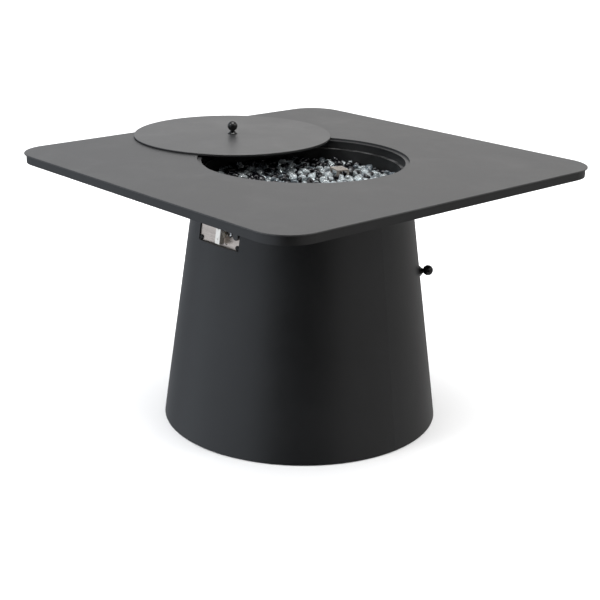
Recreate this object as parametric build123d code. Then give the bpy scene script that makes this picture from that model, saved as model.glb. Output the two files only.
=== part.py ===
from build123d import *
import os
from math import atan, cos, degrees, radians, sin

os.makedirs("parts", exist_ok=True)

# A gas fire table: a square steel top on a cone pedestal that hides the gas bottle.
# Lengths are millimetres and angles degrees. The origin is on the floor, on the axis of
# the pedestal. -Y is the control side and +Y is the side of the bottle door.

# ---- Table top ----
TOP_SIDE = 1000.0
TOP_HEIGHT = 645.0
TOP_CORNER = 86.0
TOP_SHEET = 3.0
TOP_EDGE_ROUND = 1.2
RIM_DEPTH = 20.0
RIM_WALL = 3.0
RIM_INSET = 5.0
BAR_WALL = 1.5

# ---- Lid and its seat ----
LID_RADIUS = 252.0
LID_LIP = 5.0
LID_SHEET = 2.0
LID_EDGE = 1.0
LID_CLEARANCE = 1.0
LID_REST_X = -311.0
LID_REST_Y = 34.5
SEAT_LEDGE = 9.5
SEAT_SHEET = 2.0
SEAT_FLANGE = 17.0

# ---- Fire bowl ----
COLLAR_SHEET = 1.5
COLLAR_SET_BACK = 1.5
COLLAR_GAP = 12.0
SHELF_DEPTH = 26.0
SHELF_WIDTH = 7.0
PAN_SHEET = 1.5
PAN_DEPTH = 75.5
PAN_CLEARANCE = 1.5
GLASS_DEPTH = 49.0
GLASS_CLEARANCE = 1.8
GRATE_SHEET = 3.0
GRATE_PITCH = 24.0
GRATE_BAR = 4.0
GRATE_OVER_RING = 2.5

# ---- Pedestal ----
BASE_RADIUS = 340.2
SHELL = 2.0
NECK_CLEARANCE = 4.1
NECK_SHEET = 2.0
NECK_LEG_GAP = 14.0
NECK_FLANGE = 50.0
NECK_BOLT_SPREAD = 60.0
FOOT_HEIGHT = 2.0
FOOT_RADIUS = 12.0
FOOT_COUNT = 6
FOOT_TURN = 30.0
BASE_SHEET = 2.0
BASE_FLANGE = 33.0
BASE_LEG_GAP = 2.0
TRAY_SHEET = 2.0
TRAY_VENT = 15.0
VENT_INSET = 74.0
BOTTLE_RADIUS = 114.5
BOTTLE_CLEARANCE = 4.0
BOTTLE_SHIFT = 90.0
HOOP_HEIGHT = 14.0
HOOP_SHEET = 2.0

# ---- Bottle door ----
DOOR_ARC = 102.0
DOOR_SILL = 40.0
DOOR_HEAD_GAP = 120.0
DOOR_SHEET = 1.6
DOOR_GAP = 2.0
DOOR_GAP_ARC = 0.6
FRAME_SHEET = 1.5
FRAME_LAP = 12.0
FRAME_LAP_ARC = 3.0
RIB_DEPTH = 14.0
RIB_SHEET = 3.0
STRIKE_GAP_ARC = 0.5
CATCH_ARC = 4.0
HINGE_LENGTH = 50.0
HINGE_INSET = 80.0
HINGE_SHEET = 2.0
HINGE_NEAR_ARC = 1.3
HINGE_LEAF_ARC = 6.0
KNUCKLE_RADIUS = 5.0
KNUCKLE_LIFT = 0.5
KNUCKLE_WEB = 4.0
PIN_RADIUS = 2.5
KNOB_FROM_EDGE_ARC = 6.0
KNOB_DROP = 128.0
CATCH_DROP = 50.0
CATCH_HEIGHT = 40.0
CATCH_DEPTH = 14.0

# ---- Ball knob, the same on the door and the lid ----
BALL_RADIUS = 12.8
BALL_CENTRE = 20.0
BALL_NECK = 5.8
BALL_FOOT = 12.4
BALL_FOOT_EDGE = 1.6
BALL_FLARE = 6.0
BALL_THREAD_END = 4.0

# ---- Control panel, in the plane of its plate ----
PANEL_ANGLE = -88.5
PANEL_WIDTH = 139.0
PANEL_HEIGHT = 95.0
PANEL_RECESS = 12.0
PANEL_DROP = 18.0
PLATE_SHEET = 1.2
SURROUND_SHEET = 1.5
SURROUND_LAP = 12.0
BATTERY_EDGE = 13.5
BATTERY_Y = -15.0
BATTERY_RADIUS = 9.5
IGNITER_PITCH = 21.0
IGNITER_Y = -13.5
KNOB_PITCH = 21.0
KNOB_Y = -17.5
DRAIN_SLOT_X = 23.3
DRAIN_SLOT_Y = -40.0
DRAIN_SLOT_TURN = -15.0
DRAIN_SLOT_LENGTH = 7.3
DRAIN_SLOT_WIDTH = 2.0
PANEL_SCREW_INSET = 6.5
PANEL_SCREW_HEAD = 6.0
PANEL_SCREW_DOME = 2.6
PANEL_SCREW_EDGE = 1.6
PANEL_SCREW_END = 6.0
BUTTON_RADIUS = 5.8
BUTTON_PROUD = 3.6
BUTTON_TAIL = 10.0
BUTTON_EDGE = 2.2
BUTTON_TRAVEL = 3.0
BEZEL_RADIUS = 8.5
BEZEL_PROUD = 1.6
BEZEL_WALL = 1.4
MODULE_WALL = 1.4
MODULE_LENGTH = 40.0
BATTERY_CAP = 5.0
BATTERY_CAP_EDGE = 2.0
BATTERY_TUBE_INSET = 1.5
BATTERY_TUBE_WALL = 1.2
BATTERY_TUBE_END = 2.0
BATTERY_LENGTH = 56.0
GRIP_LENGTH = 46.0
GRIP_WIDTH = 17.0
GRIP_DEPTH = 13.0
GRIP_CORNER = 2.5
GRIP_EDGE = 0.8
GRIP_GAP = 1.9
GRIP_SKIRT = 11.0
SKIRT_SHEET = 3.0
POINTER_WIDTH = 4.0
POINTER_DEPTH = 2.5
DIMPLE_RADIUS = 1.4
DIMPLE_DEPTH = 1.2
KNOB_TRAVEL = 2.5
STEM_RADIUS = 3.0
STEM_SOCKET = 9.5
STEM_REACH = 20.0

# ---- Gas train and burner ----
VALVE_WIDTH = 24.0
VALVE_HEIGHT = 38.0
VALVE_DEPTH = 28.0
VALVE_CORNER = 4.0
VALVE_SET_BACK = 4.0
VALVE_NECK = 7.0
VALVE_NUT = 10.5
NUT_HEIGHT = 2.6
THREAD_SHOW = 0.3
INLET_RADIUS = 5.0
INLET_LENGTH = 18.0
INLET_WALL = 2.0
INLET_HEX = 9.0
INLET_HEX_HEIGHT = 6.0
OUTLET_RISE = 10.0
OUTLET_LENGTH = 8.0
OUTLET_WALL = 3.0
PLUNGER_WALL = 4.0
PLUNGER_LENGTH = 8.0
PLUNGER_GAP = 0.2
SPRING_ROOM = 2.5
PIPE_RADIUS = 4.0
PIPE_BORE = 3.0
PIPE_LEAD = 40.0
PIPE_RUN = 54.0
PIPE_BEND = 30.0
PIPE_SOCKET = 4.0
RING_INSET = 85.0
RING_TUBE = 8.0
RING_PORTS = 24
PORT_RADIUS = 1.3
PORT_DEPTH = 3.0
CROSSBAR_RELIEF = 2.0
HUB_WALL = 4.0
HUB_RELIEF = 1.0
FEED_RADIUS = 7.0
FEED_WALL = 2.0
FEED_THREAD = 8.0
FEED_END = 2.0
FEED_DROP = 17.0
MIXER_RADIUS = 13.0
MIXER_LENGTH = 38.0
MIXER_WALL = 2.0
MIXER_FLOOR = 4.0
MIXER_WINDOW = 12.0
JET_RADIUS = 4.0
JET_BORE = 1.2
ELBOW_DROP = 22.0
ELBOW_RADIUS = 10.0
ELBOW_ARM = 12.0
ARM_INSET = 2.0
SHIELD_GAP = 12.5
SHIELD_SHEET = 1.5
SHIELD_INSET = 21.5
SHIELD_BOLT_INSET = 45.0
SHIELD_SLOT_WIDTH = 36.0
SHIELD_SLOT_BREADTH = 12.0
SPACER_RADIUS = 4.5
PILOT_X = 21.0
PILOT_FROM_RING = 50.0
PILOT_TURN = -17.0
PILOT_PITCH = 10.0
PILOT_HOLE = 3.2
PILOT_TAIL = 8.0
BRACKET_WIDTH = 36.0
BRACKET_BREADTH = 24.0
BRACKET_SHEET = 1.5
BRACKET_BELOW_GLASS = 12.0
PILOT_TUBE = 3.0
PILOT_HEAD = 5.0
PILOT_BORE = 1.5
PILOT_HEAD_HEIGHT = 14.0
PILOT_BELOW_GLASS = 4.0
PROBE_RADIUS = 2.0
PROBE_SLEEVE = 3.0
PROBE_SLEEVE_HEIGHT = 13.0
ELECTRODE_RADIUS = 1.2
ELECTRODE_SLEEVE = 3.0
ELECTRODE_PROUD = 2.0
HOOD_WIDTH = 42.0
HOOD_BREADTH = 31.0
HOOD_PROUD = 14.0
HOOD_SHEET = 1.2
HOOD_FOOT = 6.0
HOOD_SLOT_COLUMNS = (-13.5, -4.5, 4.5, 13.5)
HOOD_SLOT_ROWS = (-8.0, 0.0, 8.0)
HOOD_SLOT_LENGTH = 4.0
HOOD_SLOT_WIDTH = 2.5
HOOD_POST = 6.0
HOOD_SIDE_RAIL = 3.0
HOOD_SIDE_SILL = 8.0
WELL_CLEARANCE = 4.0

# ---- Fits ----
RUN_FIT = 0.08
HOLE_FIT = 0.1
THREAD_FIT = 0.05
PART_GAP = 0.4
END_PLAY = 0.5
SHIELD_HOLE_FIT = 2.0
CUT = 1.0

# ---- Fasteners ----
BOLT_RADIUS = 3.0
BOLT_HEAD = 5.0
BOLT_HEAD_HEIGHT = 4.0
BOLT_GRIP = 10.0
SCREW_HEAD = 5.0
SCREW_HEAD_HEIGHT = 2.3
SMALL_SCREW = 2.0
SMALL_HEAD = 4.0
SMALL_HEAD_HEIGHT = 2.2
SMALL_NUT = 3.9
SMALL_NUT_HEIGHT = 3.0

# ---- Places that follow from the sizes ----
SHEET_BOTTOM = TOP_HEIGHT - TOP_SHEET
BAR_SIZE = RIM_DEPTH
RIM_BOTTOM = SHEET_BOTTOM - RIM_DEPTH
NECK_Z = RIM_BOTTOM - NECK_SHEET
SEAT_RADIUS = LID_RADIUS + LID_CLEARANCE
LEDGE_RADIUS = SEAT_RADIUS - SEAT_LEDGE
LEDGE_Z = TOP_HEIGHT - LID_LIP
COLLAR_RADIUS = LEDGE_RADIUS + COLLAR_SET_BACK
COLLAR_TOP = LEDGE_Z - SEAT_SHEET
SHELF_Z = TOP_HEIGHT - SHELF_DEPTH
PAN_FLANGE = COLLAR_RADIUS - PART_GAP
PAN_RADIUS = COLLAR_RADIUS - SHELF_WIDTH - PAN_CLEARANCE
PAN_FLOOR = SHELF_Z + PAN_SHEET - PAN_DEPTH
PAN_BORE = PAN_RADIUS - PAN_SHEET
GLASS_TOP = TOP_HEIGHT - GLASS_DEPTH
RING_FLOOR = PAN_FLOOR + PAN_SHEET
RING_RADIUS = PAN_BORE - RING_INSET
GRATE_BOTTOM = RING_FLOOR + 2.0 * RING_TUBE + GRATE_OVER_RING
GLASS_BOTTOM = GRATE_BOTTOM + GRATE_SHEET
GLASS_RADIUS = PAN_BORE - GLASS_CLEARANCE
NECK_RADIUS = COLLAR_RADIUS + COLLAR_SHEET + NECK_CLEARANCE + NECK_SHEET + SHELL
CONE_SLOPE = (BASE_RADIUS - NECK_RADIUS) / NECK_Z
CONE_TILT = degrees(atan(CONE_SLOPE))
NECK_OUTER = NECK_RADIUS + NECK_FLANGE
BAR_OFFSET = SEAT_RADIUS + SEAT_FLANGE + 2.0 * SEAT_SHEET + BAR_SIZE / 2.0 + PART_GAP
RIM_OUTER = TOP_SIDE - 2.0 * RIM_INSET
RIM_CORNER = TOP_CORNER - RIM_INSET
RIM_INNER = RIM_OUTER - 2.0 * RIM_WALL
BASE_BOTTOM = FOOT_HEIGHT
BASE_LEG_TOP = DOOR_SILL - FRAME_LAP - BASE_LEG_GAP
TRAY_BOTTOM = BASE_BOTTOM + BASE_SHEET
TRAY_TOP = TRAY_BOTTOM + TRAY_SHEET
DOOR_HEAD = NECK_Z - DOOR_HEAD_GAP
KNOB_Z = DOOR_HEAD - KNOB_DROP
DOOR_START = 90.0 - DOOR_ARC / 2.0
DOOR_END = 90.0 + DOOR_ARC / 2.0
HINGE_ANGLE = DOOR_END - DOOR_GAP_ARC / 2.0
KNUCKLE_OUT = KNUCKLE_RADIUS + KNUCKLE_LIFT
HINGE_HEIGHTS = (DOOR_SILL + HINGE_INSET, DOOR_HEAD - HINGE_INSET)
KNOB_ANGLE = DOOR_START + KNOB_FROM_EDGE_ARC
CATCH_Z = KNOB_Z - CATCH_DROP
PANEL_Z = PAN_FLOOR - PANEL_DROP
PANEL_TOP = PANEL_Z + PANEL_HEIGHT / 2.0 + SURROUND_SHEET
NECK_FOOT = PANEL_TOP + NECK_LEG_GAP
COLLAR_BOTTOM = PANEL_TOP + COLLAR_GAP
PLATE_FACE = -PANEL_RECESS
PLATE_BACK = PLATE_FACE - PLATE_SHEET
VALVE_FRONT = PLATE_BACK - VALVE_SET_BACK
VALVE_BACK = VALVE_FRONT - VALVE_DEPTH
OUTLET_Y = KNOB_Y + OUTLET_RISE
GRIP_BACK = PLATE_FACE + NUT_HEIGHT + KNOB_TRAVEL + GRIP_GAP
BUTTON_BARREL = BUTTON_TAIL + BUTTON_TRAVEL + 2.0 * END_PLAY
BATTERY_X = PANEL_WIDTH / 2.0 - BATTERY_EDGE
IGNITER_X = BATTERY_X - IGNITER_PITCH
VALVE_X = IGNITER_X - KNOB_PITCH
BEZEL_BARREL = BUTTON_RADIUS + BEZEL_WALL
BATTERY_TUBE = BATTERY_RADIUS - BATTERY_TUBE_INSET
PLATE_FITTINGS = (
    (VALVE_X, KNOB_Y, VALVE_NECK),
    (IGNITER_X, IGNITER_Y, BEZEL_BARREL),
    (BATTERY_X, BATTERY_Y, BATTERY_TUBE),
)
FEED_BOTTOM = PAN_FLOOR - FEED_DROP
MIXER_BOTTOM = FEED_BOTTOM - MIXER_LENGTH
ELBOW_Z = MIXER_BOTTOM - ELBOW_DROP / 2.0
SHIELD_TOP = PAN_FLOOR - SHIELD_GAP
SHIELD_BOTTOM = SHIELD_TOP - SHIELD_SHEET
PILOT_Y = RING_RADIUS - PILOT_FROM_RING
PILOT_LOW = PAN_FLOOR - PILOT_TAIL
HOOD_TOP = GLASS_TOP + HOOD_PROUD


# ---- Helpers ----
def shell_radius(z):
    """Outer radius of the pedestal at height z."""
    return BASE_RADIUS - CONE_SLOPE * z


def turned(points, start=0.0, end=360.0):
    """Closed outline of (radius, height) points, turned about the pedestal's axis."""
    outline = make_face(Plane.XZ * Polyline(*points, close=True))
    return Rot(0, 0, start) * revolve(outline, Axis.Z, end - start)


def cone_layer(low, high, inner, outer, start=0.0, end=360.0):
    """Layer that follows the pedestal's surface, between two offsets from it."""
    points = [
        (shell_radius(low) + inner, low),
        (shell_radius(low) + outer, low),
        (shell_radius(high) + outer, high),
        (shell_radius(high) + inner, high),
    ]
    return turned(points, start, end)


def surface_place(angle, z, out=0.0):
    """Place on the pedestal's surface: x runs round it, y up it and z out of it."""
    tilt, turn = radians(CONE_TILT), radians(angle)
    outward = Vector(cos(tilt) * cos(turn), cos(tilt) * sin(turn), sin(tilt))
    foot = Vector(shell_radius(z) * cos(turn), shell_radius(z) * sin(turn), z)
    plane = Plane(foot + outward * out, x_dir=(-sin(turn), cos(turn), 0), z_dir=outward)
    return plane.location


def rod(radius, low, high, bore=0.0):
    """Round bar or tube along z, from low to high."""
    middle = Pos(0, 0, (low + high) / 2.0)
    bar = middle * Cylinder(radius, high - low)
    return bar - middle * Cylinder(bore, high - low) if bore else bar


def block(width, breadth, low, high):
    """Rectangular block centred on x and y, from low to high."""
    return Pos(0, 0, (low + high) / 2.0) * Box(width, breadth, high - low)


def hexagon(radius, low, high):
    """Six-sided block, as a bolt head or a nut, from low to high."""
    return Pos(0, 0, low) * extrude(RegularPolygon(radius, 6), high - low)


def ring_places(count, radius, first=0.0):
    """Evenly spaced places on a circle."""
    return [Rot(0, 0, first + 360.0 * i / count) * Pos(radius, 0, 0) for i in range(count)]


def group(solids):
    """Separate solids kept together in one node."""
    return Compound(children=[s for item in solids for s in item.solids()])


def rounded_square(side, corner, low, high):
    """Square slab with rounded corners."""
    return Pos(0, 0, low) * extrude(RectangleRounded(side, side, corner), high - low)


def ball_knob():
    """Ball on a flared neck, with a blind threaded hole in its foot."""
    flare_top = BALL_FOOT_EDGE + BALL_FLARE
    knob = rod(BALL_FOOT, 0, BALL_FOOT_EDGE)
    knob += Pos(0, 0, (BALL_FOOT_EDGE + flare_top) / 2.0) * Cone(BALL_FOOT, BALL_NECK, BALL_FLARE)
    knob += rod(BALL_NECK, flare_top, BALL_CENTRE)
    knob += Pos(0, 0, BALL_CENTRE) * Sphere(BALL_RADIUS)
    return knob - rod(PIN_RADIUS + THREAD_FIT, 0, BALL_CENTRE - BALL_THREAD_END)


def knob_screw(sheet):
    """Screw that holds a ball knob through a sheet that lies below z = 0."""
    under = -sheet - HOLE_FIT
    shank = rod(PIN_RADIUS, under, BALL_CENTRE - BALL_THREAD_END - END_PLAY)
    return shank + rod(SCREW_HEAD, under - SCREW_HEAD_HEIGHT, under)


# ---- Table top and its frame ----
def make_table_top():
    top = rounded_square(TOP_SIDE, TOP_CORNER, SHEET_BOTTOM, TOP_HEIGHT)
    top = fillet(top.edges(), TOP_EDGE_ROUND)
    return top - rod(SEAT_RADIUS, SHEET_BOTTOM - CUT, TOP_HEIGHT + CUT)


def make_rim_band():
    outer = rounded_square(RIM_OUTER, RIM_CORNER, RIM_BOTTOM, SHEET_BOTTOM)
    low, high = RIM_BOTTOM - CUT, SHEET_BOTTOM + CUT
    return outer - rounded_square(RIM_INNER, RIM_CORNER - RIM_WALL, low, high)


def bolt_hole_places():
    """Eight places, two on each crossbar, where the neck ring bolts to the frame."""
    spots = [(side, BAR_OFFSET) for side in (-NECK_BOLT_SPREAD, NECK_BOLT_SPREAD)]
    return [Rot(0, 0, 90.0 * turn) * Pos(x, y, 0) for turn in range(4) for x, y in spots]


def bolt_drills(low, high):
    return [at * rod(BOLT_RADIUS + HOLE_FIT, low, high) for at in bolt_hole_places()]


def make_crossbars():
    """Four square tubes under the sheet: two full length, two between them."""
    across = BAR_SIZE - 2.0 * BAR_WALL
    middle = (RIM_BOTTOM + SHEET_BOTTOM) / 2.0
    short = 2.0 * BAR_OFFSET - BAR_SIZE
    drills = bolt_drills(RIM_BOTTOM - CUT, RIM_BOTTOM + 2.0 * BAR_WALL)
    bars = {}
    for name, turn, length in (
        ("back", 0.0, RIM_INNER),
        ("left", 90.0, short),
        ("front", 180.0, RIM_INNER),
        ("right", 270.0, short),
    ):
        tube = Box(length, BAR_SIZE, BAR_SIZE) - Box(length, across, across)
        bars["crossbar_" + name] = Rot(0, 0, turn) * Pos(0, BAR_OFFSET, middle) * tube - drills
    return bars


def make_lid_seat():
    riser = SEAT_RADIUS + SEAT_SHEET
    return turned([
        (LEDGE_RADIUS, COLLAR_TOP),
        (riser, COLLAR_TOP),
        (riser, SHEET_BOTTOM - SEAT_SHEET),
        (SEAT_RADIUS + SEAT_FLANGE, SHEET_BOTTOM - SEAT_SHEET),
        (SEAT_RADIUS + SEAT_FLANGE, SHEET_BOTTOM),
        (SEAT_RADIUS, SHEET_BOTTOM),
        (SEAT_RADIUS, LEDGE_Z),
        (LEDGE_RADIUS, LEDGE_Z),
    ])


# ---- Pedestal ----
def make_neck_ring():
    inner = shell_radius(NECK_FOOT) - SHELL
    ring = turned([
        (inner - NECK_SHEET, NECK_FOOT),
        (inner, NECK_FOOT),
        (shell_radius(NECK_Z) - SHELL, NECK_Z),
        (NECK_OUTER, NECK_Z),
        (NECK_OUTER, RIM_BOTTOM),
        (shell_radius(NECK_Z) - SHELL - NECK_SHEET, RIM_BOTTOM),
    ])
    return ring - bolt_drills(NECK_Z - CUT, RIM_BOTTOM + CUT)


def make_neck_bolts():
    bolt = rod(BOLT_RADIUS, NECK_Z, RIM_BOTTOM + BOLT_GRIP)
    bolt += hexagon(BOLT_HEAD, NECK_Z - BOLT_HEAD_HEIGHT, NECK_Z)
    return group([at * bolt for at in bolt_hole_places()])


def panel_place(x=0.0, y=0.0, z=0.0):
    """Place in the control panel's own axes: z = 0 is the pedestal's surface."""
    return surface_place(PANEL_ANGLE, PANEL_Z) * Pos(x, y, z)


def panel_block(grow, low, high):
    """Block as wide and high as the panel plus grow on each side."""
    solid = block(PANEL_WIDTH + 2 * grow, PANEL_HEIGHT + 2 * grow, low, high)
    return panel_place() * solid


def make_pedestal_shell():
    shell = cone_layer(BASE_BOTTOM, NECK_Z, -SHELL, 0.0)
    shell -= cone_layer(DOOR_SILL, DOOR_HEAD, -2 * SHELL, SHELL, DOOR_START, DOOR_END)
    return shell - panel_block(SURROUND_SHEET, -2 * PANEL_RECESS, PANEL_RECESS)


def make_base_ring():
    inner = shell_radius(TRAY_BOTTOM) - SHELL
    ring = turned([
        (inner - BASE_FLANGE, BASE_BOTTOM),
        (shell_radius(BASE_BOTTOM) - SHELL, BASE_BOTTOM),
        (shell_radius(BASE_LEG_TOP) - SHELL, BASE_LEG_TOP),
        (shell_radius(BASE_LEG_TOP) - SHELL - BASE_SHEET, BASE_LEG_TOP),
        (inner - BASE_SHEET, TRAY_BOTTOM),
        (inner - BASE_FLANGE, TRAY_BOTTOM),
    ])
    return ring - [at * rod(PIN_RADIUS + HOLE_FIT, 0, TRAY_TOP) for at in foot_places()]


def foot_places():
    """Places of the screws and foot pads under the base ring."""
    radius = shell_radius(TRAY_BOTTOM) - SHELL - BASE_FLANGE / 2.0
    return ring_places(FOOT_COUNT, radius, first=FOOT_TURN)


def make_bottle_tray():
    radius = shell_radius(TRAY_TOP) - SHELL - BASE_SHEET - PART_GAP
    tray = rod(radius, TRAY_BOTTOM, TRAY_TOP)
    tray -= [at * rod(PIN_RADIUS + HOLE_FIT, 0, TRAY_TOP) for at in foot_places()]
    vents = ring_places(FOOT_COUNT, radius - VENT_INSET, first=2.0 * FOOT_TURN)
    return tray - [at * rod(TRAY_VENT, 0, TRAY_TOP + CUT) for at in vents]


def make_bottle_hoop():
    inner = BOTTLE_RADIUS + BOTTLE_CLEARANCE
    hoop = rod(inner + HOOP_SHEET, TRAY_TOP, TRAY_TOP + HOOP_HEIGHT, inner)
    return Pos(0, BOTTLE_SHIFT, 0) * hoop


def make_base_screws():
    screw = rod(PIN_RADIUS, BASE_BOTTOM, TRAY_TOP)
    screw += rod(SCREW_HEAD, TRAY_TOP, TRAY_TOP + SCREW_HEAD_HEIGHT)
    return group([at * screw for at in foot_places()])


def make_foot_pads():
    """Pads under the base ring, and one under the middle of the tray."""
    pads = [at * rod(FOOT_RADIUS, 0, BASE_BOTTOM) for at in foot_places()]
    return group(pads + [rod(FOOT_RADIUS, 0, TRAY_BOTTOM)])


# ---- Bottle door ----
def make_door_frame():
    outside = -SHELL
    inside = outside - FRAME_SHEET
    frame = cone_layer(
        DOOR_SILL - FRAME_LAP, DOOR_HEAD + FRAME_LAP, inside, outside,
        DOOR_START - FRAME_LAP_ARC, DOOR_END + FRAME_LAP_ARC,
    )
    return frame - cone_layer(
        DOOR_SILL + FRAME_LAP, DOOR_HEAD - FRAME_LAP, inside - CUT, outside + CUT,
        DOOR_START + FRAME_LAP_ARC, DOOR_END - FRAME_LAP_ARC,
    )


def make_door_panel():
    panel = cone_layer(
        DOOR_SILL + DOOR_GAP, DOOR_HEAD - DOOR_GAP, -DOOR_SHEET, 0.0,
        DOOR_START + DOOR_GAP_ARC, DOOR_END - DOOR_GAP_ARC,
    )
    drill = rod(PIN_RADIUS + HOLE_FIT, -2.0 * DOOR_SHEET, CUT)
    return panel - surface_place(KNOB_ANGLE, KNOB_Z) * drill


def make_door_ribs():
    """Two stiffening ribs across the back of the door, clear of its frame."""
    start = DOOR_START + FRAME_LAP_ARC + 2 * KNOB_FROM_EDGE_ARC
    end = DOOR_END - FRAME_LAP_ARC - KNOB_FROM_EDGE_ARC
    third = (DOOR_HEAD - DOOR_SILL) / 3.0
    return group([
        cone_layer(z, z + RIB_SHEET, -DOOR_SHEET - RIB_DEPTH, -DOOR_SHEET, start, end)
        for z in (DOOR_SILL + third, DOOR_HEAD - third)
    ])


def make_hinge_half(side):
    """Leaf and knuckle of both hinges: side 1 is fixed and below, side -1 is the door's."""
    near = HINGE_ANGLE + side * HINGE_NEAR_ARC
    far = near + side * HINGE_LEAF_ARC
    halves = []
    for z in HINGE_HEIGHTS:
        low, high = z - HINGE_LENGTH / 2.0, z + HINGE_LENGTH / 2.0
        leaf = cone_layer(low, high, 0.0, HINGE_SHEET, min(near, far), max(near, far))
        span = (low, z) if side > 0 else (z + PART_GAP, high)
        halves.append(leaf + hinge_knuckle(span, side))
    return group(halves)


def hinge_knuckle(span, side):
    """Barrel on the hinge axis, joined to its leaf by a short web."""
    place = surface_place(HINGE_ANGLE, (span[0] + span[1]) / 2.0, KNUCKLE_OUT)
    height = (span[1] - span[0]) / cos(radians(CONE_TILT))
    web_width = KNUCKLE_RADIUS + KNUCKLE_WEB
    lowest = KNUCKLE_LIFT - KNUCKLE_OUT
    web = Pos(side * web_width / 2.0, 0, lowest + HINGE_SHEET / 2.0)
    barrel = Rot(-90, 0, 0) * rod(KNUCKLE_RADIUS, -height / 2.0, height / 2.0)
    barrel += web * Box(web_width, height, HINGE_SHEET)
    bore = Rot(-90, 0, 0) * rod(PIN_RADIUS + RUN_FIT, -height, height)
    return place * (barrel - bore)


def make_hinge_pins():
    length = HINGE_LENGTH / cos(radians(CONE_TILT)) / 2.0 - HINGE_SHEET
    pin = Rot(-90, 0, 0) * rod(PIN_RADIUS, -length, length)
    return group([surface_place(HINGE_ANGLE, z, KNUCKLE_OUT) * pin for z in HINGE_HEIGHTS])


def make_magnet_catch():
    """Magnet block behind the frame's free edge."""
    outside = -SHELL - FRAME_SHEET
    return cone_layer(
        CATCH_Z - CATCH_HEIGHT / 2.0, CATCH_Z + CATCH_HEIGHT / 2.0,
        outside - CATCH_DEPTH, outside,
        DOOR_START, DOOR_START + FRAME_LAP_ARC + CATCH_ARC,
    )


def make_door_strike():
    """Steel plate on the door that the magnet pulls."""
    return cone_layer(
        CATCH_Z - CATCH_HEIGHT / 2.0, CATCH_Z + CATCH_HEIGHT / 2.0,
        -SHELL - FRAME_SHEET + PART_GAP, -DOOR_SHEET,
        DOOR_START + FRAME_LAP_ARC + STRIKE_GAP_ARC, DOOR_START + FRAME_LAP_ARC + CATCH_ARC,
    )


# ---- Lid ----
def lid_place():
    return Pos(LID_REST_X, LID_REST_Y, TOP_HEIGHT)


def make_lid_plate():
    lip = LID_RADIUS - LID_SHEET
    plate = turned([
        (PIN_RADIUS + HOLE_FIT, LID_LIP - LID_SHEET),
        (lip, LID_LIP - LID_SHEET),
        (lip, 0),
        (LID_RADIUS, 0),
        (LID_RADIUS, LID_LIP - LID_EDGE),
        (LID_RADIUS - LID_EDGE, LID_LIP),
        (PIN_RADIUS + HOLE_FIT, LID_LIP),
    ])
    return lid_place() * plate


# ---- Control panel ----
def make_panel_surround():
    """Open box set into the shell, with a flange behind the plate."""
    depth = PLATE_BACK - SURROUND_SHEET
    box = panel_block(SURROUND_SHEET, depth, PANEL_RECESS)
    box -= panel_block(0.0, PLATE_BACK, PANEL_RECESS + CUT)
    box -= panel_block(-SURROUND_LAP, depth - CUT, PLATE_BACK + CUT)
    box -= cone_layer(DOOR_SILL, NECK_Z, 0.0, 4.0 * PANEL_RECESS)
    for x, y, radius in PLATE_FITTINGS:
        box -= panel_place(x, y) * rod(radius + PART_GAP, depth - CUT, PLATE_BACK)
    return box - panel_drills(depth - CUT, PLATE_BACK + CUT)


def panel_corners():
    """Places of the four panel screws."""
    half_width = PANEL_WIDTH / 2.0 - PANEL_SCREW_INSET
    half_height = PANEL_HEIGHT / 2.0 - PANEL_SCREW_INSET
    return [panel_place(x * half_width, y * half_height) for x in (-1, 1) for y in (-1, 1)]


def panel_drills(low, high):
    return [at * rod(SMALL_SCREW + HOLE_FIT, low, high) for at in panel_corners()]


def make_control_plate():
    low, high = PLATE_BACK - CUT, PLATE_FACE + CUT
    plate = panel_block(-PART_GAP, PLATE_BACK, PLATE_FACE)
    for x, y, radius in PLATE_FITTINGS:
        plate -= panel_place(x, y) * rod(radius + HOLE_FIT, low, high)
    slot = block(DRAIN_SLOT_LENGTH, DRAIN_SLOT_WIDTH, low, high)
    plate -= panel_place(DRAIN_SLOT_X, DRAIN_SLOT_Y) * Rot(0, 0, DRAIN_SLOT_TURN) * slot
    return plate - panel_drills(low, high)


def make_panel_screws():
    head = rod(PANEL_SCREW_HEAD, PLATE_FACE, PLATE_FACE + PANEL_SCREW_DOME)
    head = fillet(head.edges().sort_by(Axis.Z)[-1], PANEL_SCREW_EDGE)
    screw = head + rod(SMALL_SCREW, PLATE_BACK - PANEL_SCREW_END, PLATE_FACE)
    return group([at * screw for at in panel_corners()])


def valve_place():
    """Place of the valve's axis in the panel."""
    return panel_place(VALVE_X, KNOB_Y)


def make_gas_valve():
    """Valve body with its threaded neck, inlet below, outlet behind and plunger chamber."""
    chamber = PLUNGER_WALL + PLUNGER_LENGTH + KNOB_TRAVEL + SPRING_ROOM
    stem_bore = STEM_REACH + KNOB_TRAVEL + END_PLAY
    body = block(VALVE_WIDTH, VALVE_HEIGHT, VALVE_BACK, VALVE_FRONT)
    body = fillet(body.edges().filter_by(Axis.Z), VALVE_CORNER)
    body += rod(VALVE_NECK, VALVE_FRONT, PLATE_FACE + NUT_HEIGHT + THREAD_SHOW)
    body += valve_inlet() + valve_outlet()
    body -= outlet_bore() + inlet_bore()
    body -= rod(2.0 * STEM_RADIUS + RUN_FIT, VALVE_FRONT - chamber, VALVE_FRONT - PLUNGER_WALL)
    body -= rod(STEM_RADIUS + RUN_FIT, VALVE_FRONT - stem_bore, 0)
    return valve_place() * body


def inlet_place():
    """Place inside the valve from which its inlet runs down."""
    return Pos(0, 0, (VALVE_FRONT + VALVE_BACK) / 2.0) * Rot(90, 0, 0)


def valve_inlet():
    low = VALVE_HEIGHT / 2.0
    return inlet_place() * (
        rod(INLET_RADIUS, 0, low + INLET_LENGTH) + hexagon(INLET_HEX, low, low + INLET_HEX_HEIGHT)
    )


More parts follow.
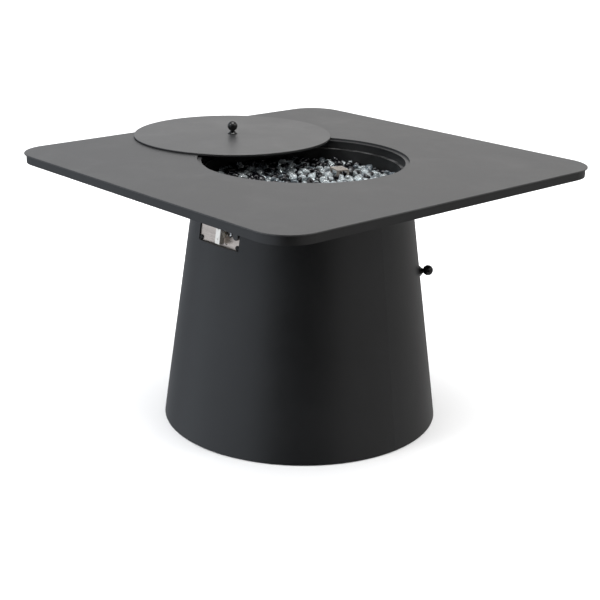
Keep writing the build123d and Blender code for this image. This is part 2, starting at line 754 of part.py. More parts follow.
def inlet_bore():
    return inlet_place() * rod(INLET_RADIUS - INLET_WALL, VALVE_HEIGHT / 4.0, VALVE_HEIGHT)


def valve_outlet():
    boss = rod(PIPE_RADIUS + OUTLET_WALL, VALVE_BACK - OUTLET_LENGTH, VALVE_BACK)
    return Pos(0, OUTLET_RISE, 0) * boss


def outlet_bore():
    low = VALVE_BACK - OUTLET_LENGTH - CUT
    return Pos(0, OUTLET_RISE, 0) * rod(PIPE_RADIUS + THREAD_FIT, low, VALVE_BACK + PIPE_SOCKET)


def make_valve_plunger():
    """Sprung collar round the stem, pushed in before the knob can turn."""
    front = VALVE_FRONT - PLUNGER_WALL - PLUNGER_GAP
    collar = rod(2.0 * STEM_RADIUS, front - PLUNGER_LENGTH, front, STEM_RADIUS + RUN_FIT)
    return valve_place() * collar


def make_valve_stem():
    top = GRIP_BACK + STEM_SOCKET - END_PLAY
    return valve_place() * rod(STEM_RADIUS, VALVE_FRONT - STEM_REACH, top)


def make_valve_nut():
    nut = hexagon(VALVE_NUT, 0, NUT_HEIGHT) - rod(VALVE_NECK + THREAD_FIT, -CUT, NUT_HEIGHT + CUT)
    return valve_place() * Pos(0, 0, PLATE_FACE) * nut


def make_control_knob():
    """Upright bar grip on a round skirt, with a pointer notch at its top end."""
    grip = block(GRIP_WIDTH, GRIP_LENGTH, 0, GRIP_DEPTH)
    grip = fillet(grip.edges().filter_by(Axis.Z), GRIP_CORNER)
    grip = chamfer(grip.faces().sort_by(Axis.Z)[-1].edges(), GRIP_EDGE)
    knob = grip + rod(GRIP_SKIRT, 0, SKIRT_SHEET)
    notch = Box(POINTER_WIDTH, 2.0 * POINTER_DEPTH, 2.0 * POINTER_DEPTH)
    knob -= Pos(0, GRIP_LENGTH / 2.0, GRIP_DEPTH) * notch
    for y in (-GRIP_LENGTH / 4.0, GRIP_LENGTH / 4.0):
        knob -= Pos(0, y, GRIP_DEPTH) * rod(DIMPLE_RADIUS, -DIMPLE_DEPTH, CUT)
    knob -= rod(STEM_RADIUS + THREAD_FIT, -CUT, STEM_SOCKET)
    return valve_place() * Pos(0, 0, GRIP_BACK) * knob


def make_igniter_bezel():
    bore = BUTTON_RADIUS + RUN_FIT
    bezel = rod(BEZEL_RADIUS, PLATE_FACE, PLATE_FACE + BEZEL_PROUD, bore)
    bezel += rod(BEZEL_BARREL, PLATE_FACE - BUTTON_BARREL, PLATE_FACE, bore)
    return panel_place(IGNITER_X, IGNITER_Y) * bezel


def make_igniter_button():
    button = rod(BUTTON_RADIUS, PLATE_FACE - BUTTON_TAIL, PLATE_FACE + BUTTON_PROUD)
    button = fillet(button.edges().sort_by(Axis.Z)[-1], BUTTON_EDGE)
    return panel_place(IGNITER_X, IGNITER_Y) * button


def make_igniter_module():
    """Sealed pulse generator behind the button."""
    top = PLATE_FACE - BUTTON_BARREL
    module = rod(BUTTON_RADIUS + MODULE_WALL, top - MODULE_LENGTH, top)
    return panel_place(IGNITER_X, IGNITER_Y) * module


def make_battery_holder():
    low = PLATE_BACK - BATTERY_LENGTH
    bore = BATTERY_TUBE - BATTERY_TUBE_WALL
    tube = rod(BATTERY_TUBE, low, PLATE_FACE) - rod(bore, low + BATTERY_TUBE_END, PLATE_FACE + CUT)
    return panel_place(BATTERY_X, BATTERY_Y) * tube


def make_battery_cap():
    cap = rod(BATTERY_RADIUS, PLATE_FACE, PLATE_FACE + BATTERY_CAP)
    cap = fillet(cap.edges().sort_by(Axis.Z)[-1], BATTERY_CAP_EDGE)
    return panel_place(BATTERY_X, BATTERY_Y) * cap


# ---- Fire bowl and burner ----
def make_bowl_collar():
    outer = COLLAR_RADIUS + COLLAR_SHEET
    shelf = COLLAR_RADIUS - SHELF_WIDTH
    return turned([
        (COLLAR_RADIUS, COLLAR_TOP),
        (COLLAR_RADIUS, SHELF_Z),
        (shelf, SHELF_Z),
        (shelf, SHELF_Z - COLLAR_SHEET),
        (COLLAR_RADIUS, SHELF_Z - COLLAR_SHEET),
        (COLLAR_RADIUS, COLLAR_BOTTOM),
        (outer, COLLAR_BOTTOM),
        (outer, COLLAR_TOP),
    ])


def make_burner_pan():
    pan = turned([
        (FEED_RADIUS + HOLE_FIT, PAN_FLOOR),
        (PAN_RADIUS, PAN_FLOOR),
        (PAN_RADIUS, SHELF_Z),
        (PAN_FLANGE, SHELF_Z),
        (PAN_FLANGE, SHELF_Z + PAN_SHEET),
        (PAN_BORE, SHELF_Z + PAN_SHEET),
        (PAN_BORE, RING_FLOOR),
        (FEED_RADIUS + HOLE_FIT, RING_FLOOR),
    ])
    low, high = PAN_FLOOR - CUT, RING_FLOOR + CUT
    return pan - shield_drills(low, high) - pilot_drills(low, high)


def pilot_place(x=0.0, y=0.0):
    return Pos(PILOT_X, PILOT_Y, 0) * Rot(0, 0, PILOT_TURN) * Pos(x, y, 0)


def pilot_drills(low, high):
    """Holes for the pilot's tube, its probe and its electrode."""
    return [pilot_place(x) * rod(PILOT_HOLE, low, high) for x in (-PILOT_PITCH, 0.0, PILOT_PITCH)]


def shield_bolt_places():
    return ring_places(4, PAN_BORE - SHIELD_BOLT_INSET, first=45.0)


def shield_drills(low, high):
    return [at * rod(SMALL_SCREW + HOLE_FIT, low, high) for at in shield_bolt_places()]


def make_heat_shield():
    low, high = SHIELD_BOTTOM - CUT, SHIELD_TOP + CUT
    bore = FEED_RADIUS + SHIELD_HOLE_FIT
    shield = rod(PAN_RADIUS - SHIELD_INSET, SHIELD_BOTTOM, SHIELD_TOP, bore)
    slot = pilot_place() * block(SHIELD_SLOT_WIDTH, SHIELD_SLOT_BREADTH, low, high)
    return shield - shield_drills(low, high) - slot


def make_shield_spacers():
    spacer = rod(SPACER_RADIUS, SHIELD_TOP, PAN_FLOOR, SMALL_SCREW + HOLE_FIT)
    return group([at * spacer for at in shield_bolt_places()])


def make_shield_screws():
    """Screws with their nuts, through the pan, the spacers and the shield."""
    screw = rod(SMALL_SCREW, SHIELD_BOTTOM - SMALL_NUT_HEIGHT - CUT, RING_FLOOR)
    screw += rod(SMALL_HEAD, RING_FLOOR, RING_FLOOR + SMALL_HEAD_HEIGHT)
    screw += hexagon(SMALL_NUT, SHIELD_BOTTOM - SMALL_NUT_HEIGHT, SHIELD_BOTTOM)
    return group([at * screw for at in shield_bolt_places()])


def make_burner_ring():
    """Eight-sided ring burner with a crossbar and hub, drilled with flame ports."""
    corners = [radians(22.5 + 45.0 * i) for i in range(8)]
    ring = turned([(RING_RADIUS + RING_TUBE * cos(a), RING_TUBE * sin(a)) for a in corners])
    bar_top = RING_TUBE - CROSSBAR_RELIEF
    hub_top = RING_TUBE - HUB_RELIEF
    ring += block(2.0 * RING_RADIUS, RING_TUBE, -bar_top, bar_top)
    ring += rod(FEED_RADIUS + HUB_WALL, -hub_top, hub_top)
    ring -= rod(FEED_RADIUS + THREAD_FIT, -RING_TUBE, 0)
    port = rod(PORT_RADIUS, RING_TUBE - PORT_DEPTH, RING_TUBE)
    ring -= [at * port for at in ring_places(RING_PORTS, RING_RADIUS, first=180.0 / RING_PORTS)]
    return Pos(0, 0, RING_FLOOR + RING_TUBE) * ring


def make_burner_feed():
    """Threaded nipple from the mixer up into the ring's hub."""
    high = RING_FLOOR + RING_TUBE - FEED_END
    return rod(FEED_RADIUS, FEED_BOTTOM - FEED_THREAD, high, FEED_RADIUS - FEED_WALL)


def make_air_mixer():
    """Mixer tube: jet seat at its foot, two windows for air and a thread for the nipple."""
    thread = FEED_BOTTOM - FEED_THREAD - CUT
    mixer = rod(MIXER_RADIUS, MIXER_BOTTOM, FEED_BOTTOM)
    mixer -= rod(MIXER_RADIUS - MIXER_WALL, MIXER_BOTTOM + MIXER_FLOOR, thread)
    mixer -= rod(FEED_RADIUS + THREAD_FIT, thread - CUT, FEED_BOTTOM)
    mixer -= rod(JET_RADIUS, MIXER_BOTTOM, MIXER_BOTTOM + MIXER_FLOOR)
    middle = Pos(0, 0, MIXER_BOTTOM + MIXER_LENGTH / 2.0)
    return mixer - middle * Box(4.0 * MIXER_RADIUS, MIXER_WINDOW, MIXER_WINDOW)


def make_gas_elbow():
    """Elbow that turns the gas from the pipe up through the jet."""
    socket = ELBOW_RADIUS + ELBOW_ARM
    elbow = rod(ELBOW_RADIUS, MIXER_BOTTOM - ELBOW_DROP, MIXER_BOTTOM)
    elbow += rod(JET_RADIUS - THREAD_FIT, MIXER_BOTTOM, MIXER_BOTTOM + MIXER_FLOOR)
    arm = Pos(0, 0, ELBOW_Z) * Rot(90, 0, 0)
    elbow += arm * rod(ELBOW_RADIUS - ARM_INSET, 0, socket)
    elbow -= arm * rod(PIPE_RADIUS + THREAD_FIT, ELBOW_RADIUS, socket + CUT)
    return elbow - rod(JET_BORE, ELBOW_Z, MIXER_BOTTOM + MIXER_FLOOR + CUT)


def make_gas_pipe():
    """Rigid pipe from the valve's outlet to the elbow, in straight runs and bends."""
    outlet = panel_place(VALVE_X, OUTLET_Y, VALVE_BACK - PIPE_SOCKET)
    start = outlet.position
    lead = (outlet * Pos(0, 0, -PIPE_LEAD)).position
    end = Vector(0, -ELBOW_RADIUS - ARM_INSET, ELBOW_Z)
    turn = Vector(0, end.Y - PIPE_RUN, ELBOW_Z)
    path = FilletPolyline(start, lead, turn, end, radius=PIPE_BEND)
    section = Plane(origin=start, z_dir=lead - start) * (Circle(PIPE_RADIUS) - Circle(PIPE_BORE))
    return sweep(section, path=path)


# ---- Pilot, grate and glass ----
def make_pilot_bracket():
    """Angle bracket on the floor of the pan that carries the pilot."""
    foot_top = RING_FLOOR + BRACKET_SHEET
    back = (BRACKET_BREADTH - BRACKET_SHEET) / 2.0
    bracket = pilot_place() * block(BRACKET_WIDTH, BRACKET_BREADTH, RING_FLOOR, foot_top)
    bracket += pilot_place(0, back) * block(
        BRACKET_WIDTH, BRACKET_SHEET, RING_FLOOR, GLASS_TOP - BRACKET_BELOW_GLASS
    )
    return bracket - pilot_drills(RING_FLOOR - CUT, foot_top + CUT)


def make_pilot_burner():
    top = GLASS_TOP - PILOT_BELOW_GLASS
    tube = rod(PILOT_TUBE, PILOT_LOW, top, PILOT_BORE)
    return pilot_place() * (tube + rod(PILOT_HEAD, top - PILOT_HEAD_HEIGHT, top, PILOT_BORE))


def make_thermocouple():
    sleeve_top = GLASS_TOP - BRACKET_BELOW_GLASS
    probe = rod(PROBE_RADIUS, PILOT_LOW, GLASS_TOP)
    probe += rod(PROBE_SLEEVE, sleeve_top - PROBE_SLEEVE_HEIGHT, sleeve_top)
    return pilot_place(PILOT_PITCH) * probe


def make_spark_electrode():
    electrode = rod(ELECTRODE_RADIUS, PILOT_LOW, GLASS_TOP + ELECTRODE_PROUD)
    electrode += rod(ELECTRODE_SLEEVE, PAN_FLOOR - 2.0 * CUT, GLASS_TOP - PILOT_TAIL)
    return pilot_place(-PILOT_PITCH) * electrode


def make_pilot_hood():
    """Guard over the pilot: a slotted top on four posts, open below."""
    foot = GLASS_BOTTOM + HOOD_FOOT
    rail = HOOD_TOP - HOOD_SIDE_RAIL
    hood = block(HOOD_WIDTH, HOOD_BREADTH, foot, HOOD_TOP)
    inner_width = HOOD_WIDTH - 2.0 * HOOD_SHEET
    inner_breadth = HOOD_BREADTH - 2.0 * HOOD_SHEET
    hood -= block(inner_width, inner_breadth, foot - CUT, HOOD_TOP - HOOD_SHEET)
    sill = foot + HOOD_SIDE_SILL
    hood -= block(HOOD_WIDTH - 2.0 * HOOD_POST, 2.0 * HOOD_BREADTH, sill, rail)
    hood -= block(2.0 * HOOD_WIDTH, HOOD_BREADTH - 2.0 * HOOD_POST, sill, rail)
    slot = block(HOOD_SLOT_LENGTH, HOOD_SLOT_WIDTH, rail, HOOD_TOP + CUT)
    for x in HOOD_SLOT_COLUMNS:
        hood -= [Pos(x, y, 0) * slot for y in HOOD_SLOT_ROWS]
    return pilot_place() * hood


def pilot_well(grow, low, high):
    """Block as large as the pilot's hood plus grow on each side."""
    return pilot_place() * block(HOOD_WIDTH + 2.0 * grow, HOOD_BREADTH + 2.0 * grow, low, high)


def make_media_grate():
    """Bar grate that carries the fire glass above the burner."""
    disc = rod(GLASS_RADIUS, GRATE_BOTTOM, GLASS_BOTTOM)
    bars = rod(GLASS_RADIUS, GRATE_BOTTOM, GLASS_BOTTOM, GLASS_RADIUS - 2.0 * GRATE_BAR)
    bar = block(GRATE_BAR, 2.0 * GLASS_RADIUS, GRATE_BOTTOM, GLASS_BOTTOM)
    count = int(GLASS_RADIUS // GRATE_PITCH)
    for i in range(-count, count + 1):
        bars += disc & (Pos(GRATE_PITCH * i, 0, 0) * bar)
    bars += disc & block(2.0 * GLASS_RADIUS, 2.0 * GRATE_BAR, GRATE_BOTTOM, GLASS_BOTTOM)
    bars += disc & pilot_well(WELL_CLEARANCE + GRATE_BAR, GRATE_BOTTOM, GLASS_BOTTOM)
    return bars - pilot_well(WELL_CLEARANCE, GRATE_BOTTOM - CUT, GLASS_BOTTOM + CUT)


def make_fire_glass():
    """Bed of loose fire glass, as one solid with a well for the pilot."""
    bed = rod(GLASS_RADIUS, GLASS_BOTTOM, GLASS_TOP)
    return bed - pilot_well(WELL_CLEARANCE, GLASS_BOTTOM - CUT, GLASS_TOP + CUT)


# ---- All nodes ----
door_knob_place = surface_place(KNOB_ANGLE, KNOB_Z)
lid_knob_place = lid_place() * Pos(0, 0, LID_LIP)

nodes = {
    "table_top": make_table_top(),
    "rim_band": make_rim_band(),
    **make_crossbars(),
    "lid_seat": make_lid_seat(),
    "bowl_collar": make_bowl_collar(),
    "neck_ring": make_neck_ring(),
    "neck_bolts": make_neck_bolts(),
    "pedestal_shell": make_pedestal_shell(),
    "base_ring": make_base_ring(),
    "bottle_tray": make_bottle_tray(),
    "bottle_hoop": make_bottle_hoop(),
    "base_screws": make_base_screws(),
    "foot_pads": make_foot_pads(),
    "door_frame": make_door_frame(),
    "door_panel": make_door_panel(),
    "door_ribs": make_door_ribs(),
    "door_hinge_leaves": make_hinge_half(-1),
    "fixed_hinge_leaves": make_hinge_half(1),
    "hinge_pins": make_hinge_pins(),
    "magnet_catch": make_magnet_catch(),
    "door_strike": make_door_strike(),
    "door_knob": door_knob_place * ball_knob(),
    "door_knob_screw": door_knob_place * knob_screw(DOOR_SHEET),
    "lid_plate": make_lid_plate(),
    "lid_knob": lid_knob_place * ball_knob(),
    "lid_knob_screw": lid_knob_place * knob_screw(LID_SHEET),
    "panel_surround": make_panel_surround(),
    "control_plate": make_control_plate(),
    "panel_screws": make_panel_screws(),
    "gas_valve": make_gas_valve(),
    "valve_plunger": make_valve_plunger(),
    "valve_stem": make_valve_stem(),
    "valve_nut": make_valve_nut(),
    "control_knob": make_control_knob(),
    "igniter_bezel": make_igniter_bezel(),
    "igniter_button": make_igniter_button(),
    "igniter_module": make_igniter_module(),
    "battery_holder": make_battery_holder(),
    "battery_cap": make_battery_cap(),
    "burner_pan": make_burner_pan(),
    "heat_shield": make_heat_shield(),
    "shield_spacers": make_shield_spacers(),
    "shield_screws": make_shield_screws(),
    "burner_ring": make_burner_ring(),
    "burner_feed": make_burner_feed(),
    "air_mixer": make_air_mixer(),
    "gas_elbow": make_gas_elbow(),
    "gas_pipe": make_gas_pipe(),
    "pilot_bracket": make_pilot_bracket(),
    "pilot_burner": make_pilot_burner(),
    "thermocouple": make_thermocouple(),
    "spark_electrode": make_spark_electrode(),
    "pilot_hood": make_pilot_hood(),
    "media_grate": make_media_grate(),
    "fire_glass": make_fire_glass(),
}

for name, shape in nodes.items():
    export_step(shape, f"parts/{name}.step")
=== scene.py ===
import math
import random

import bpy
import numpy as np
from bpy.props import FloatProperty, FloatVectorProperty, IntProperty, PointerProperty
from bpy.types import Operator, Panel, PropertyGroup
from mathutils import Matrix, Vector


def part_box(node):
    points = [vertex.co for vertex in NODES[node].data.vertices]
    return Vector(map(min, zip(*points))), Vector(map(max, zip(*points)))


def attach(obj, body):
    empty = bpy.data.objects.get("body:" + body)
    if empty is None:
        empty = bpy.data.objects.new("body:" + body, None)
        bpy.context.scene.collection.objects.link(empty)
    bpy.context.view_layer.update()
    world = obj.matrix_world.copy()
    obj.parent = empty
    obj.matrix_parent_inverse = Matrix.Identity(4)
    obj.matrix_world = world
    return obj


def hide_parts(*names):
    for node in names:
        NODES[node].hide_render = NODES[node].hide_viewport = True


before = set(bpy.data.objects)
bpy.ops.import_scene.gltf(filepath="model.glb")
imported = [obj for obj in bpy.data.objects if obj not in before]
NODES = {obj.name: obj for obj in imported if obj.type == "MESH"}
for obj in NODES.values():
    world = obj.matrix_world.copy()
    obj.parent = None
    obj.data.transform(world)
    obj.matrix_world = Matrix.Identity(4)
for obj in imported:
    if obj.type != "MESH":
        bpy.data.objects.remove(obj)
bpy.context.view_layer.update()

bl_info = {
    "name": "Gas Fire Table",
    "version": (1, 0, 0),
    "blender": (4, 5, 0),
    "location": "3D View > Sidebar > Fire Table",
    "description": "Finishes a gas fire table, fills its bowl with glass and lights it",
    "category": "Object",
}

GLASS_LOW, GLASS_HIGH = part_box("fire_glass")
GLASS_RADIUS = (GLASS_HIGH[0] - GLASS_LOW[0]) / 2
HOOD_LOW, HOOD_HIGH = (Vector(corner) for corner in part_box("pilot_hood"))
HOOD_MIDDLE = [(low + high) / 2 for low, high in zip(HOOD_LOW, HOOD_HIGH)]
HOOD_TURN = math.radians(-17.0)        # how far the pilot guard is turned in plan
HOOD_HALF = np.array([0.021, 0.0155])  # half its length and half its breadth

# Fire glass
SHAPE_COUNT = 14            # different nuggets, each used many times
CUT_PLANES = (4, 7)         # fewest and most flat sides of a nugget
CUT_REACH = (0.66, 0.90)    # from its middle to a flat side, as a share of its radius
CUT_SHARE = 0.80            # how much of what lies past a flat side is taken off
BREADTH = (0.70, 0.95)      # against its length
THICKNESS = (0.46, 0.66)    # against its length
SIZE_SPREAD = (0.72, 1.25)  # smallest and largest piece against the usual one
FILL_SHARE = 0.80           # how many pieces a layer has, against how many would just fit
PUSH_ROUNDS = 120
PUSH_STEP = 0.35            # share of an overlap that one round takes away
PIECE_GAP = 0.49            # distance wanted between two pieces, per sum of their sizes
GUARD_GAP = 0.42            # distance kept from the pilot guard, per size of the piece
TILT = 0.45                 # usual tilt of a piece, in radians
FIRST_LAYER_DEPTH = 0.0045  # from the top of the glass to the middle of the first layer
LAYER_STEP = 0.0085         # from one layer to the next
HEAP_BY_GUARD = 0.005       # how much higher the glass lies next to the guard
HEAP_FADE = 0.05            # distance from the guard's middle over which that fades
BED_DEPTH = 0.020           # from the top of the glass to the bed under the pieces
BED_THICKNESS = 0.006
BED_LUMP = 0.0022
# Painted shade: more black pieces lie on the side that the lid and rim shade, and more clear ones on
# the lit side
LIT_SIDE_CLEAR_BIAS = 0.22          # how much the share of clear pieces rises towards one side
LIT_SIDE_WAY = (0.87, -0.30)  # the side of the bowl where most of the clear pieces lie

# Finishes
DUST_COLOUR = (0.16, 0.155, 0.145)
SKIN_DUST_COLOUR = (0.2, 0.19, 0.18)
SOOT_COLOUR = (0.02, 0.018, 0.016)
RUBBED_STEEL = (0.62, 0.58, 0.52)
HEAT_BANDS = ((0.30, (0.30, 0.30, 0.32)), (0.42, (0.50, 0.42, 0.33)), (0.52, (0.62, 0.50, 0.36)),
              (0.62, (0.34, 0.22, 0.16)), (0.74, (0.18, 0.19, 0.26)))

# Studio
FLOOR_HALF = 30.0           # half the side of the floor
LAMP_AIM = (0.0, 0.0, 0.4)  # where the softboxes point
FLOOR_SUN_ANGLE = math.radians(120.0)
RIGHT_SHARE = 0.6           # power of the right softbox against the left one
WARM_TINT = (1.0, 0.99, 0.98)
COOL_TINT = (0.86, 0.92, 1.0)
SENSOR_WIDTH = 36.0
LENS_SHIFT = -0.0019


# ---- Settings that a user would change ----
class CoatSettings(PropertyGroup):
    """Colours and texture of the painted steel."""

    top_colour: FloatVectorProperty(
        name="Top coat", description="Colour of the table top and lid",
        subtype="COLOR", default=(0.023, 0.023, 0.0235), min=0.0, max=1.0)
    # Painted shade: the body is the top's coat set darker, for the dimmer light on the pedestal's sides
    shaded_body_colour: FloatVectorProperty(
        name="Body coat", description="Colour of the pedestal, rim and frame",
        subtype="COLOR", default=(0.0048, 0.0050, 0.0058), min=0.0, max=1.0)
    bowl_colour: FloatVectorProperty(
        name="Bowl coat", description="Colour of the heat-resistant coat in the bowl",
        subtype="COLOR", default=(0.009, 0.009, 0.009), min=0.0, max=1.0)
    knob_colour: FloatVectorProperty(
        name="Knob enamel", description="Colour of the glossy ball knobs",
        subtype="COLOR", default=(0.004, 0.004, 0.004), min=0.0, max=1.0)
    grain: FloatProperty(
        name="Coat grain", description="Size of the fine texture of the powder coat",
        unit="LENGTH", default=0.0011, min=0.0002, max=0.01)


class MetalSettings(PropertyGroup):
    """Colours of the bare metals."""

    stainless: FloatVectorProperty(
        name="Stainless", description="Colour of the brushed control plate",
        subtype="COLOR", default=(0.57, 0.505, 0.455), min=0.0, max=1.0)
    tempered: FloatVectorProperty(
        name="Tempered steel", description="Colour of steel that the flame has tinted",
        subtype="COLOR", default=(0.235, 0.215, 0.20), min=0.0, max=1.0)
    brass: FloatVectorProperty(
        name="Brass", description="Colour of the valve and gas fittings",
        subtype="COLOR", default=(0.62, 0.46, 0.20), min=0.0, max=1.0)
    zinc: FloatVectorProperty(
        name="Zinc plate", description="Colour of plated fasteners and sheet",
        subtype="COLOR", default=(0.46, 0.46, 0.45), min=0.0, max=1.0)


class GlassSettings(PropertyGroup):
    """Size and mix of the fire glass."""

    piece_size: FloatProperty(
        name="Piece size", description="Usual width of one piece of fire glass",
        unit="LENGTH", default=0.0215, min=0.008, max=0.03)
    layers: IntProperty(
        name="Layers", description="How many layers of pieces are laid on the bed",
        default=2, min=1, max=3)
    clear_share: FloatProperty(
        name="Clear share", description="Share of the pieces that are clear",
        subtype="FACTOR", default=0.34, min=0.0, max=1.0)
    grey_share: FloatProperty(
        name="Grey share", description="Share of the pieces that are smoky grey",
        subtype="FACTOR", default=0.22, min=0.0, max=1.0)
    seed: IntProperty(
        name="Seed", description="Picks one arrangement of the pieces", default=11, min=0)


class StudioSettings(PropertyGroup):
    """Floor, lights and camera."""

    floor_colour: FloatVectorProperty(
        name="Floor", description="Colour of the plain floor",
        subtype="COLOR", default=(0.86, 0.86, 0.86), min=0.0, max=1.0)
    overhead_power: FloatProperty(
        name="Overhead light", description="Power of the softbox above the table",
        unit="POWER", default=60.0, min=0.0)
    side_power: FloatProperty(
        name="Side lights", description="Power of the left softbox; the right one has less",
        unit="POWER", default=26.0, min=0.0)
    floor_power: FloatProperty(
        name="Floor light", description="Strength of the light that falls on the floor alone",
        default=3.6, min=0.0)
    left_glow: FloatProperty(
        name="Left surroundings", description="Brightness at table height on the left",
        default=1.0, min=0.0)
    right_glow: FloatProperty(
        name="Right surroundings", description="Brightness at table height on the right",
        default=0.45, min=0.0)
    backdrop_glow: FloatProperty(
        name="Backdrop", description="Brightness at table height behind the table",
        default=1.20, min=0.0)
    sky_glow: FloatProperty(
        name="Sky", description="Brightness overhead", default=0.66, min=0.0)
    azimuth: FloatProperty(
        name="Camera azimuth", description="Direction of the camera round the table",
        subtype="ANGLE", default=math.radians(47.8))
    elevation: FloatProperty(
        name="Camera elevation", description="Height of the camera above the horizon",
        subtype="ANGLE", default=math.radians(18.846))
    roll: FloatProperty(
        name="Camera roll", description="Turn of the camera about its own axis",
        subtype="ANGLE", default=math.radians(0.932))
    distance: FloatProperty(
        name="Camera distance", description="From the camera to the point it looks at",
        unit="LENGTH", default=3.1382)
    aim_height: FloatProperty(
        name="Aim height", description="Height of the point that the camera looks at",
        unit="LENGTH", default=0.2872)
    lens: FloatProperty(
        name="Lens", description="Focal length in millimetres", default=76.063, min=1.0)


class FireTableSettings(PropertyGroup):
    """All the settings of the fire table."""

    coat: PointerProperty(type=CoatSettings)
    metal: PointerProperty(type=MetalSettings)
    glass: PointerProperty(type=GlassSettings)
    studio: PointerProperty(type=StudioSettings)


def settings():
    return bpy.context.scene.fire_table


# ---- Node helpers ----
def add(tree, kind, inputs=None, **props):
    """New node in a tree. An input that is a socket is linked, any other is a value."""
    made = tree.nodes.new(kind)
    for name, value in props.items():
        setattr(made, name, value)
    for key, value in (inputs or {}).items():
        if isinstance(value, bpy.types.NodeSocket):
            tree.links.new(value, made.inputs[key])
        else:
            made.inputs[key].default_value = value
    return made


def maths(tree, operation, first, second=0.0, clamp=False):
    made = add(tree, "ShaderNodeMath", {0: first, 1: second}, operation=operation)
    made.use_clamp = clamp
    return made.outputs[0]


def spread(tree, value, low, high, to_low=0.0, to_high=1.0):
    """Value spread from one range to another, kept inside it."""
    made = add(tree, "ShaderNodeMapRange", {
        "Value": value, "From Min": low, "From Max": high,
        "To Min": to_low, "To Max": to_high})
    return made.outputs["Result"]


def blend_colour(tree, factor, first, second):
    """First colour at factor 0, second at 1. Sockets 0, 6, 7 and 2 are those for colour."""
    return add(tree, "ShaderNodeMix", {0: factor, 6: first, 7: second}, data_type="RGBA").outputs[2]


def scaled(tree, vector, factor):
    return add(tree, "ShaderNodeVectorMath", {0: vector, "Scale": factor}, operation="SCALE").outputs[0]


def along(tree, first, second):
    """Dot product of two vectors."""
    made = add(tree, "ShaderNodeVectorMath", {0: first, 1: second}, operation="DOT_PRODUCT")
    return made.outputs["Value"]


def cloud(tree, vector, scale, detail=2.0, roughness=0.5, distortion=0.0):
    """Noise between 0 and 1."""
    made = add(tree, "ShaderNodeTexNoise", {
        "Vector": vector, "Scale": scale, "Detail": detail,
        "Roughness": roughness, "Distortion": distortion})
    return made.outputs["Fac"]


def object_place(tree):
    return add(tree, "ShaderNodeTexCoord").outputs["Object"]


def upward(tree):
    """How far the surface faces up, from -1 to 1."""
    normal = add(tree, "ShaderNodeTexCoord").outputs["Normal"]
    return add(tree, "ShaderNodeSeparateXYZ", {0: normal}).outputs["Z"]


def rgba(colour, level=1.0):
    """Colour with full alpha, made lighter or darker by the level."""
    return (*(level * part for part in colour), 1.0)


def into_scene(name, data):
    """New object in the scene that holds the given mesh, light or camera."""
    made = bpy.data.objects.new(name, data)
    bpy.context.scene.collection.objects.link(made)
    return made


# ---- Effects that several finishes share ----
def new_effect(name, inputs, outputs):
    """Node group with named sockets, and the sockets that carry what it is given."""
    tree = bpy.data.node_groups.new(name, "ShaderNodeTree")
    for label, kind, default in inputs:
        socket = tree.interface.new_socket(
            label, in_out="INPUT", socket_type="NodeSocket" + kind)
        socket.default_value = default
    for label, kind in outputs:
        tree.interface.new_socket(label, in_out="OUTPUT", socket_type="NodeSocket" + kind)
    return tree, add(tree, "NodeGroupInput").outputs


def effect(name, build):
    """The named node group, built the first time it is asked for."""
    return bpy.data.node_groups.get(name) or build(name)


def build_coat_texture(name):
    """Fine pebbled skin of powder coat, with faint cloudy patches."""
    tree, given = new_effect(name, (
        ("Colour", "Color", (0.02, 0.02, 0.02, 1.0)),
        ("Grain Size", "Float", 0.001),
        ("Patches", "Float", 0.3),
        ("Roughness", "Float", 0.45),
    ), (("Colour", "Color"), ("Roughness", "Float"), ("Height", "Float")))
    place = object_place(tree)
    per_metre = maths(tree, "DIVIDE", 1.0, given["Grain Size"])
    grain = cloud(tree, place, per_metre, 2.0, 0.55)
    peel = cloud(tree, place, maths(tree, "MULTIPLY", per_metre, 0.22), 1.0, 0.4)
    patches = cloud(tree, place, 5.5, 3.0, 0.55, 0.3)
    speckle = spread(tree, grain, 0.35, 0.65, -0.12, 0.12)
    drift = maths(tree, "MULTIPLY", spread(tree, patches, 0.3, 0.7, -1.0, 1.0), given["Patches"])
    light = maths(tree, "ADD", 1.0, maths(tree, "ADD", speckle, drift))
    colour = scaled(tree, given["Colour"], light)
    rough = maths(tree, "ADD", given["Roughness"], maths(tree, "MULTIPLY", drift, 0.09))
    rough = maths(tree, "ADD", rough, maths(tree, "MULTIPLY", speckle, 0.25), clamp=True)
    height = maths(tree, "ADD", maths(tree, "MULTIPLY", grain, 0.55), peel)
    add(tree, "NodeGroupOutput", {"Colour": colour, "Roughness": rough, "Height": height})
    return tree


def build_brushed_grain(name):
    """Long fine scratches of brushed metal along one axis."""
    tree, given = new_effect(name, (
        ("Colour", "Color", (0.5, 0.5, 0.5, 1.0)),
        ("Scale", "Vector", (60.0, 3000.0, 3000.0)),
        ("Roughness", "Float", 0.3),
        ("Contrast", "Float", 0.2),
    ), (("Colour", "Color"), ("Roughness", "Float"), ("Height", "Float")))
    stretched = add(tree, "ShaderNodeVectorMath", {0: object_place(tree), 1: given["Scale"]},
                    operation="MULTIPLY").outputs[0]
    fine = cloud(tree, stretched, 1.0, 3.0, 0.6)
    broad = cloud(tree, stretched, 0.13, 2.0, 0.5)
    both = maths(tree, "ADD", maths(tree, "MULTIPLY", fine, 0.6),
                 maths(tree, "MULTIPLY", broad, 0.4))
    swing = maths(tree, "MULTIPLY", spread(tree, both, 0.3, 0.7, -1.0, 1.0), given["Contrast"])
    colour = scaled(tree, given["Colour"], maths(tree, "ADD", 1.0, swing))
    rough = maths(tree, "ADD", given["Roughness"], maths(tree, "MULTIPLY", swing, 0.35), clamp=True)
    add(tree, "NodeGroupOutput", {"Colour": colour, "Roughness": rough, "Height": both})
    return tree


